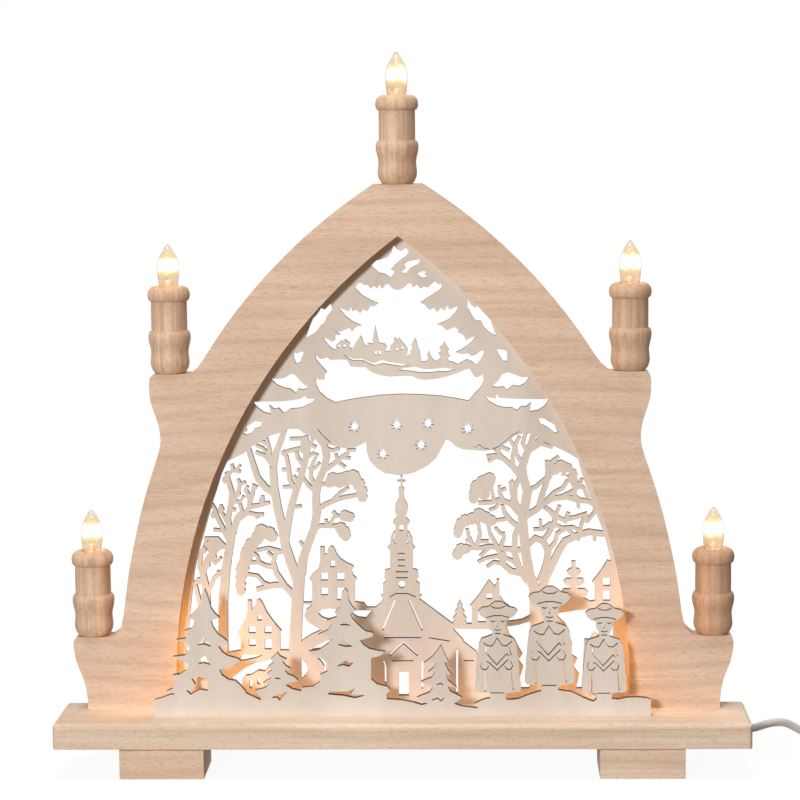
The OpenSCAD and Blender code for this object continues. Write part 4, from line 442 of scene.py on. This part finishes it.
# Rings along X that widen from the first to the last
def ringTree(material, hoopSides, beadSides):
    tree, given = newGeometryTree("boot_rings", [
        ("Count", "NodeSocketInt", 6),
        ("Start", "NodeSocketVector", (0.0, 0.0, 0.0)),
        ("Spacing", "NodeSocketVector", (0.003, 0.0, 0.0)),
        ("First Radius", "NodeSocketFloat", 0.003),
        ("Last Radius", "NodeSocketFloat", 0.005),
        ("Thickness", "NodeSocketFloat", 0.15)])
    row = put(tree, "GeometryNodeMeshLine", {
        "Count": given["Count"], "Start Location": given["Start"], "Offset": given["Spacing"]}).outputs[0]
    hoop, bead = circle(tree, hoopSides, 1.0), circle(tree, beadSides, given["Thickness"])
    ring = put(tree, "GeometryNodeCurveToMesh", {"Curve": hoop, "Profile Curve": bead}).outputs[0]
    upright = put(tree, "GeometryNodeTransform", {
        "Geometry": ring, "Rotation": (0.0, math.pi / 2, 0.0)}).outputs[0]
    order = put(tree, "GeometryNodeInputIndex").outputs[0]
    last = calc(tree, "SUBTRACT", given["Count"], 1.0)
    size = put(tree, "ShaderNodeMapRange", {
        0: order, 1: 0.0, 2: last, 3: given["First Radius"], 4: given["Last Radius"]}).outputs[0]
    rings = put(tree, "GeometryNodeInstanceOnPoints", {
        "Points": row, "Instance": upright, "Scale": size}).outputs[0]
    treeEnd(tree, rings, material)
    return tree


# Fine wire wound round an arch that stands between the two leads
def filamentTree(material, turnSteps, wireSides):
    tree, given = newGeometryTree("filament_coil", [
        ("Turns", "NodeSocketFloat", 11.0),
        ("Coil Radius", "NodeSocketFloat", 0.0005),
        ("Half Span", "NodeSocketFloat", 0.0023),
        ("Rise", "NodeSocketFloat", 0.0026),
        ("Wire", "NodeSocketFloat", 0.00014),
        ("Foot", "NodeSocketVector", (0.0, 0.0, 0.0))])
    spiral = put(tree, "GeometryNodeCurveSpiral", {
        "Resolution": turnSteps, "Rotations": given["Turns"], "Height": math.pi,
        "Start Radius": given["Coil Radius"], "End Radius": given["Coil Radius"]}).outputs[0]
    position = put(tree, "GeometryNodeInputPosition").outputs[0]
    place = put(tree, "ShaderNodeSeparateXYZ", {0: position}).outputs
    wide, tall = (calc(tree, "ADD", given[reach], place[0]) for reach in ("Half Span", "Rise"))
    acrossX = calc(tree, "MULTIPLY", calc(tree, "COSINE", place[2]), wide)
    upZ = calc(tree, "MULTIPLY", calc(tree, "SINE", place[2]), tall)
    bent = put(tree, "ShaderNodeCombineXYZ", {0: acrossX, 1: place[1], 2: upZ}).outputs[0]
    stood = put(tree, "ShaderNodeVectorMath", {0: bent, 1: given["Foot"]}, operation="ADD").outputs[0]
    wound = put(tree, "GeometryNodeSetPosition", {"Geometry": spiral, "Position": stood}).outputs[0]
    bead = circle(tree, wireSides, given["Wire"])
    wire = put(tree, "GeometryNodeCurveToMesh", {
        "Curve": wound, "Profile Curve": bead, "Fill Caps": True}).outputs[0]
    treeEnd(tree, wire, material)
    return tree


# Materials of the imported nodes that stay
def dress(material, *names):
    for name in names:
        mesh = nodes[name].data
        mesh.materials.clear()
        mesh.materials.append(material)


dress(archWood, "arch_frame")
dress(baseWood, "base_board")
dress(footWoodPaintedLighter, "foot_left", "foot_right")
dress(panelPly, "back_panel", "front_panel")
dress(sleevePlastic, "holder_left", "holder_right", "cord_clamp", *("socket_" + s for s in candleSpots))
dress(brass, "socket_shells", "socket_rivets", *("cap_" + s for s in lampSpots))
dress(solder, *("contact_" + s for s in lampSpots))
dress(steel, "wire_clips", "long_screws", "small_screws", "panel_pins", "plug_pins")
dress(wirePlastic, "wiring_loom")

# Candles, turned: radius and height above the perch
candleOutline = {
    "spigot": [(3.0, -8.0), (5.0, -8.0), (5.0, 0.0)],
    "cup": [(9.0, 0.0), (9.7, 0.5), (10.7, 1.7), (11.6, 3.5), (12.15, 5.4), (12.3, 7.2), (12.1, 9.6),
            (11.85, 11.6), (11.75, 13.4), (11.9, 15.2), (12.35, 17.2), (12.85, 19.2), (13.2, 21.0),
            (13.34, 22.8), (13.25, 24.4), (12.9, 25.6), (12.3, 26.5), (11.6, 27.0)],
    "shaft": [(11.36, 27.05), (11.32, 27.4), (11.34, 36.0), (11.3, 45.3), (11.34, 45.5)],
    "collar": [(11.6, 45.55), (12.3, 45.9), (12.85, 46.8), (13.2, 48.0), (13.33, 49.4), (13.2, 50.8),
               (12.8, 52.1), (12.1, 53.2), (11.1, 54.1), (9.9, 54.7), (8.6, 55.0), (7.6, 54.95), (7.2, 54.3)],
    "bore": [(7.16, 53.6), (7.16, 29.9), (3.0, 29.9)],
}
candleSet = {"height": 55.0, "sides": 64, "crease": 40.0}


def perchOf(spot):
    low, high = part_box("candle_" + spot)
    return Vector(((low.x + high.x) / 2, (low.y + high.y) / 2, high.z - candleSet["height"] * mm))


def makeCandle(spot, s):
    outline = [point for part in candleOutline.values() for point in part]
    wood = redCandleWood if spot == "low_right" else candleWood
    candle = turned("turned_candle_" + spot, outline, perchOf(spot), s["sides"], [wood], s["crease"])
    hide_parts("candle_" + spot)
    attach(candle, "stand")


for spot in candleSpots:
    makeCandle(spot, candleSet)
print("candles turned")

# Lamps: glass with an outer and an inner wall, and the filament on its stem
lamp = {
    "outer": [(4.15, -7.0), (4.15, -4.8), (4.7, -3.2), (5.5, -1.4), (6.05, 0.2), (6.42, 3.0), (6.75, 6.5),
              (6.98, 10.0), (6.95, 12.8), (6.5, 15.4), (5.6, 17.8), (4.55, 19.8), (3.6, 21.6), (2.75, 23.2),
              (1.95, 24.4), (1.2, 25.4), (0.55, 26.0), (0.0, 26.2)],
    "neckDepth": 7.0, "wall": 0.55, "tipWall": 0.9, "height": 26.2,
    "curveSteps": 3, "sides": 40, "crease": 60.0, "leastRadius": 0.1,
    "stems": [(2.4, (-6.8, -5.0, -2.5, -0.5)), (1.9, (-0.6, 1.5, 3.0, 3.8))], "stemSides": 20,
    "leadFoot": 1.5, "leadTop": 2.3, "leadBends": (2.0, 5.0, 8.5), "leadHigh": 11.2, "leadRadius": 0.22,
    "leadSteps": 4, "leadSides": 8,
    "coilRise": 2.6, "coilRadius": 0.5, "coilWire": 0.14, "coilTurns": 11.0, "coilSink": 0.1,
    "turnSteps": 12, "wireSides": 6,
}


def lampTop(spot):
    low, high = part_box("glass_" + spot)
    return Vector(((low.x + high.x) / 2, (low.y + high.y) / 2, low.z + lamp["neckDepth"] * mm))


def lampGlass(spot, s):
    outer = smoothLine(s["outer"], s["curveSteps"])
    shrink = (s["height"] - s["tipWall"]) / s["height"]
    inner = [(r - s["wall"], z * shrink if z > 0 else z)
             for r, z in outer if r - s["wall"] > s["leastRadius"]]
    inner.append((0.0, s["height"] - s["tipWall"]))
    pick = [0] * len(outer) + [1] * (len(inner) - 1) + [0]
    piece = turned("glass_lamp_" + spot, outer + inner[::-1], lampTop(spot), s["sides"],
                   [clearGlass, glowGlass], s["crease"], pick, (0.0, s["height"]))
    piece.visible_shadow = False
    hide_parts("glass_" + spot)
    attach(piece, "lamp_" + spot)


def leadPoints(s, side):
    low, middle, bend = s["leadBends"]
    foot, top = side * s["leadFoot"], side * s["leadTop"]
    return smoothLine([(foot, 0.0, low), (foot, 0.0, middle), (top, 0.0, bend), (top, 0.0, s["leadHigh"])],
                      s["leadSteps"])


def lampFilament(spot, s):
    top = lampTop(spot)
    build = bmesh.new()

    def at(x, y, z):
        return top + Vector((x, y, z)) * mm

    for radius, heights in s["stems"]:
        tubeMesh(build, [at(0, 0, z) for z in heights], radius * mm, s["stemSides"], 0)
    for side in (-1, 1):
        tubeMesh(build, [at(*p) for p in leadPoints(s, side)], s["leadRadius"] * mm, s["leadSides"], 1)
    coil = grown("coil_" + spot, coilTree, {
        "Turns": s["coilTurns"], "Coil Radius": s["coilRadius"] * mm, "Half Span": s["leadTop"] * mm,
        "Rise": s["coilRise"] * mm, "Wire": s["coilWire"] * mm,
        "Foot": at(0, 0, s["leadHigh"] - s["coilSink"])})
    first = len(build.faces)
    build.from_mesh(coil)
    build.faces.ensure_lookup_table()
    for face in build.faces[first:]:
        face.material_index = 2
    mesh = bpy.data.meshes.new("filament_lamp_" + spot)
    build.to_mesh(mesh)
    build.free()
    piece = newObject("filament_lamp_" + spot, mesh, stemGlass, steel, hotWire)
    piece.visible_shadow = False
    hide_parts("filament_" + spot)
    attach(piece, "lamp_" + spot)


coilTree = filamentTree(hotWire, lamp["turnSteps"], lamp["wireSides"])
for spot in lampSpots:
    lampGlass(spot, lamp)
    lampFilament(spot, lamp)
print("lamps made")

# Mains lead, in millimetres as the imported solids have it: out at the right end, seven loops
# beside the arch, and the plug
lead = {
    "run": [(190, 7, 23.5), (200, 7, 23.5), (210, 7, 23.5), (218, 7, 23.5), (224, 10, 23.6), (231, 17, 23.7),
            (238, 24, 23), (246, 31, 20.6), (256, 38, 14), (267, 44, 7), (278, 47, 3.4)],
    "diameter": 5.2, "coilAt": (302.0, 8.0), "loops": 7, "pitch": 5.98, "meanRadius": 28.6, "steps": 48,
    "plugWay": (50.0, -17.0), "plugHeight": 7.0, "exit": (217.5, 7.0, 23.5), "length": 1.5,
    "bendSteps": 6, "leastStep": 0.2, "roundness": 4,
}


def coilPlace(t):
    loops, pitch = lead["loops"], lead["pitch"]
    outer = lead["meanRadius"] + pitch * loops / 4
    radius = outer - pitch * min(t, loops - t)
    rise = min(max((t - loops / 2) * 2 + 0.5, 0.0), 1.0)
    return (lead["coilAt"][0] + radius * math.sin(t * 2 * math.pi),
            lead["coilAt"][1] + radius * math.cos(t * 2 * math.pi),
            lead["diameter"] / 2 + pitch * rise)


def moved(p, dx, dy=0.0, dz=0.0):
    return (p[0] + dx, p[1] + dy, p[2] + dz)


coilTurns = [coilPlace(i / lead["steps"]) for i in range(lead["loops"] * lead["steps"] + 1)]
ahead = lead["diameter"]
coilIn, coilOut = moved(coilTurns[0], -ahead), moved(coilTurns[-1], ahead)
plugAt = moved(coilOut, *lead["plugWay"], lead["plugHeight"] - coilOut[2])
halfway = tuple((a + b) / 2 for a, b in zip(coilOut, plugAt))
runPoints = lead["run"] + [moved(coilIn, -k * ahead) for k in (2, 1, 0)]
tailPoints = [moved(coilOut, k * ahead) for k in (0, 1, 2)] + [halfway]
tailPoints += [moved(plugAt, -k * ahead) for k in (2, 1, 0)]
runPath, tailPath = (smoothLine(points, lead["bendSteps"]) for points in (runPoints, tailPoints))
cordPath = [Vector(p) * mm for p in runPath[:-1] + coilTurns + tailPath]
cordPath = [p for i, p in enumerate(cordPath)
            if i == 0 or (p - cordPath[i - 1]).length > lead["leastStep"] * mm]
cordLength = sum((b - a).length for a, b in zip(cordPath, cordPath[1:]))
print("lead measures %.3f m" % cordLength)


def makeLead(path):
    curve = bpy.data.curves.new("mains_lead", "CURVE")
    curve.dimensions = "3D"
    curve.bevel_depth = lead["diameter"] / 2 * mm
    curve.bevel_resolution = lead["roundness"]
    curve.use_fill_caps = True
    line = curve.splines.new("POLY")
    line.points.add(len(path) - 1)
    for point, place in zip(line.points, path):
        point.co = (*place, 1.0)
    line.use_smooth = True
    piece = newObject("mains_lead", curve, cordPlastic)
    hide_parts("cord_run", "cord_coil", "cord_tail")
    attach(piece, "stand")
    return piece


cordPiece = makeLead(cordPath)

# Flat plug: place along its length from the end of the lead, half width, half height, squareness
plug = {
    "sections": [
        (0.0, 3.1, 3.1, 2.0), (6.0, 3.4, 3.4, 2.0), (14.0, 4.1, 4.0, 2.0), (21.0, 4.9, 4.7, 2.1),
        (22.0, 5.7, 5.0, 2.4), (24.5, 7.6, 5.5, 2.6), (28.0, 10.2, 6.0, 2.8), (32.5, 14.0, 6.5, 3.0),
        (38.0, 16.9, 6.9, 3.2), (43.0, 17.6, 7.0, 3.4), (49.0, 17.6, 7.0, 3.4), (51.2, 17.3, 6.7, 3.4),
        (52.0, 16.6, 6.0, 3.4)],
    "sides": 40, "crease": 50.0, "ribs": 6, "ribStart": 3.0, "ribSpacing": 3.0,
    "ribFirst": 3.05, "ribLast": 4.6, "ribBead": 0.14, "hoopSides": 32, "beadSides": 8,
}


def plugRing(build, x, halfWidth, halfHeight, power):
    ring = []
    for k in range(plug["sides"]):
        angle = 2 * math.pi * k / plug["sides"]
        c, n = math.cos(angle), math.sin(angle)
        y = math.copysign(abs(c) ** (2 / power), c) * halfWidth
        z = math.copysign(abs(n) ** (2 / power), n) * halfHeight
        ring.append(build.verts.new(Vector(moved(plugAt, x, y, z)) * mm))
    return ring


def makePlug(s):
    build = bmesh.new()
    rings = [plugRing(build, *section) for section in s["sections"]]
    for lower, upper in zip(rings, rings[1:]):
        for k in range(s["sides"]):
            after = (k + 1) % s["sides"]
            build.faces.new((lower[k], lower[after], upper[after], upper[k])).smooth = True
    build.faces.new(rings[0][::-1])
    build.faces.new(rings[-1])
    bmesh.ops.recalc_face_normals(build, faces=build.faces)
    build.from_mesh(grown("boot_rings", ringTree(cordPlastic, s["hoopSides"], s["beadSides"]), {
        "Count": s["ribs"], "Start": [v * mm for v in moved(plugAt, s["ribStart"])],
        "Spacing": (s["ribSpacing"] * mm, 0.0, 0.0), "First Radius": s["ribFirst"] * mm,
        "Last Radius": s["ribLast"] * mm, "Thickness": s["ribBead"]}))
    mesh = bpy.data.meshes.new("flat_plug")
    build.to_mesh(mesh)
    build.free()
    mesh.set_sharp_from_angle(angle=math.radians(s["crease"]))
    piece = newObject("flat_plug", mesh, cordPlastic)
    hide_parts("plug_body")
    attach(piece, "stand")
    return piece


plugPiece = makePlug(plug)
print("lead and plug made")

# Studio: pale floor, white surroundings, soft key from the upper left, and the lamps' own light
studio = {
    "floorSize": 12.0, "floorWhite": 0.24, "worldLight": 0.065, "warmth": "#ffe2c2",
    "nearShow": 0.5, "nearLevel": 1.84, "farLevel": 1.03, "shadowReach": (0.45, 1.1),
    "aim": (0.0, 0.0, 0.2),
    "key": {"place": (-0.85, -2.3, 0.88), "size": 0.4, "power": 44.5, "colour": "#fffdfb"},
    "fill": {"place": (1.7, -1.5, 0.9), "size": 1.6, "power": 0.8, "colour": "#fbfbff"},
    "top": {"place": (-0.1, -0.4, 2.2), "size": 1.2, "power": 24.0, "colour": "#fffdf8"},
    "back": {"place": (1.1, 2.2, 1.2), "size": 1.2, "power": 26.0, "colour": "#fffdfa", "diffuseOnly": True},
    "bounce": {
        "place": (0.0, 0.007, 0.0385), "length": 0.27, "depth": 0.02, "power": 0.009, "colour": "#ff9d30"},
    "candleLamp": {"power": 0.03, "forward": 0.0, "colour": "#ffc36e"},
    "innerLamp": {"power": 0.06, "forward": 2.4, "colour": "#ffa51e"},
    "lampRadius": 8.2, "lampRise": 11.0,
}
pureWhite = (1.0, 1.0, 1.0, 1.0)


# 1 for what the camera sees, also in metal and through glass, and 0 for light that falls on things
def cameraShare(tree):
    path = put(tree, "ShaderNodeLightPath")
    seen = calc(tree, "MAXIMUM", path.outputs["Is Camera Ray"], path.outputs["Is Glossy Ray"])
    return calc(tree, "MAXIMUM", seen, path.outputs["Is Transmission Ray"])


def makeWorld(s):
    world = bpy.data.worlds.new("studio")
    bpy.context.scene.world = world
    world.use_nodes = True
    tree = world.node_tree
    tree.nodes.clear()
    seen = cameraShare(tree)
    strength = calc(tree, "MULTIPLY_ADD", seen, 1.0 - s["worldLight"], s["worldLight"])
    colour = blended(tree, seen, shade(s["warmth"]), pureWhite)
    background = put(tree, "ShaderNodeBackground", {"Color": colour, "Strength": strength}).outputs[0]
    put(tree, "ShaderNodeOutputWorld", {"Surface": background})


# Near the arch the floor keeps its shadow, and further out it is plain white
def floorPaper(s):
    material, tree = newMaterial("pale_floor")
    seen = cameraShare(tree)
    plainPaper = (s["floorWhite"],) * 3 + (1.0,)
    warmPaper = tuple(s["floorWhite"] * part for part in shade(s["warmth"])[:3]) + (1.0,)
    paperColour = blended(tree, seen, warmPaper, plainPaper)
    paper = put(tree, "ShaderNodeBsdfDiffuse", {"Color": paperColour}).outputs[0]
    place = put(tree, "ShaderNodeTexCoord").outputs["Object"]
    distance = put(tree, "ShaderNodeVectorMath", {0: place}, operation="LENGTH").outputs["Value"]
    outward = spread(tree, distance, *s["shadowReach"])
    level = calc(tree, "MULTIPLY_ADD", outward, s["farLevel"] - s["nearLevel"], s["nearLevel"])
    show = calc(tree, "MULTIPLY_ADD", outward, 1.0 - s["nearShow"], s["nearShow"])
    white = put(tree, "ShaderNodeEmission", {"Color": pureWhite, "Strength": level}).outputs[0]
    share = calc(tree, "MULTIPLY", seen, show)
    finish(tree, put(tree, "ShaderNodeMixShader", {0: share, 1: paper, 2: white}).outputs[0])
    return material


def makeFloor(s):
    half = s["floorSize"]
    corners = [(-half, -half, 0), (half, -half, 0), (half, half, 0), (-half, half, 0)]
    mesh = bpy.data.meshes.new("floor")
    mesh.from_pydata(corners, [], [(0, 1, 2, 3)])
    newObject("floor", mesh, floorPaper(s))


def newLight(name, kind, power, colour, place):
    data = bpy.data.lights.new(name, kind)
    data.energy, data.color = power, shade(colour)[:3]
    light = bpy.data.objects.new(name, data)
    bpy.context.scene.collection.objects.link(light)
    light.location = place
    light.visible_camera = False
    return light, data


def hideFromGloss(light):
    light.visible_glossy = light.visible_transmission = False


def areaLight(name, s):
    light, data = newLight(name, "AREA", s["power"], s["colour"], s["place"])
    data.size = s["size"]
    light.rotation_euler = (Vector(studio["aim"]) - Vector(s["place"])).to_track_quat("-Z", "Y").to_euler()
    if s.get("diffuseOnly"):
        hideFromGloss(light)


# Warm light that bounces up between the two panels
def panelGlow(s):
    light, data = newLight("panel_glow", "AREA", s["power"], s["colour"], s["place"])
    data.shape = "RECTANGLE"
    data.size, data.size_y = s["length"], s["depth"]
    light.rotation_euler = (math.pi, 0.0, 0.0)
    hideFromGloss(light)


def lampLight(spot):
    s = studio["innerLamp" if spot.startswith("inner") else "candleLamp"]
    place = lampTop(spot) + Vector((0, -s["forward"], studio["lampRise"])) * mm
    light, data = newLight("light_" + spot, "POINT", s["power"], s["colour"], place)
    data.shadow_soft_size = studio["lampRadius"] * mm
    hideFromGloss(light)


makeWorld(studio)
makeFloor(studio)
for name in ("key", "fill", "top", "back"):
    areaLight(name, studio[name])
panelGlow(studio["bounce"])
for spot in lampSpots:
    lampLight(spot)
bpy.context.scene.view_settings.view_transform = "Standard"
print("studio lit")
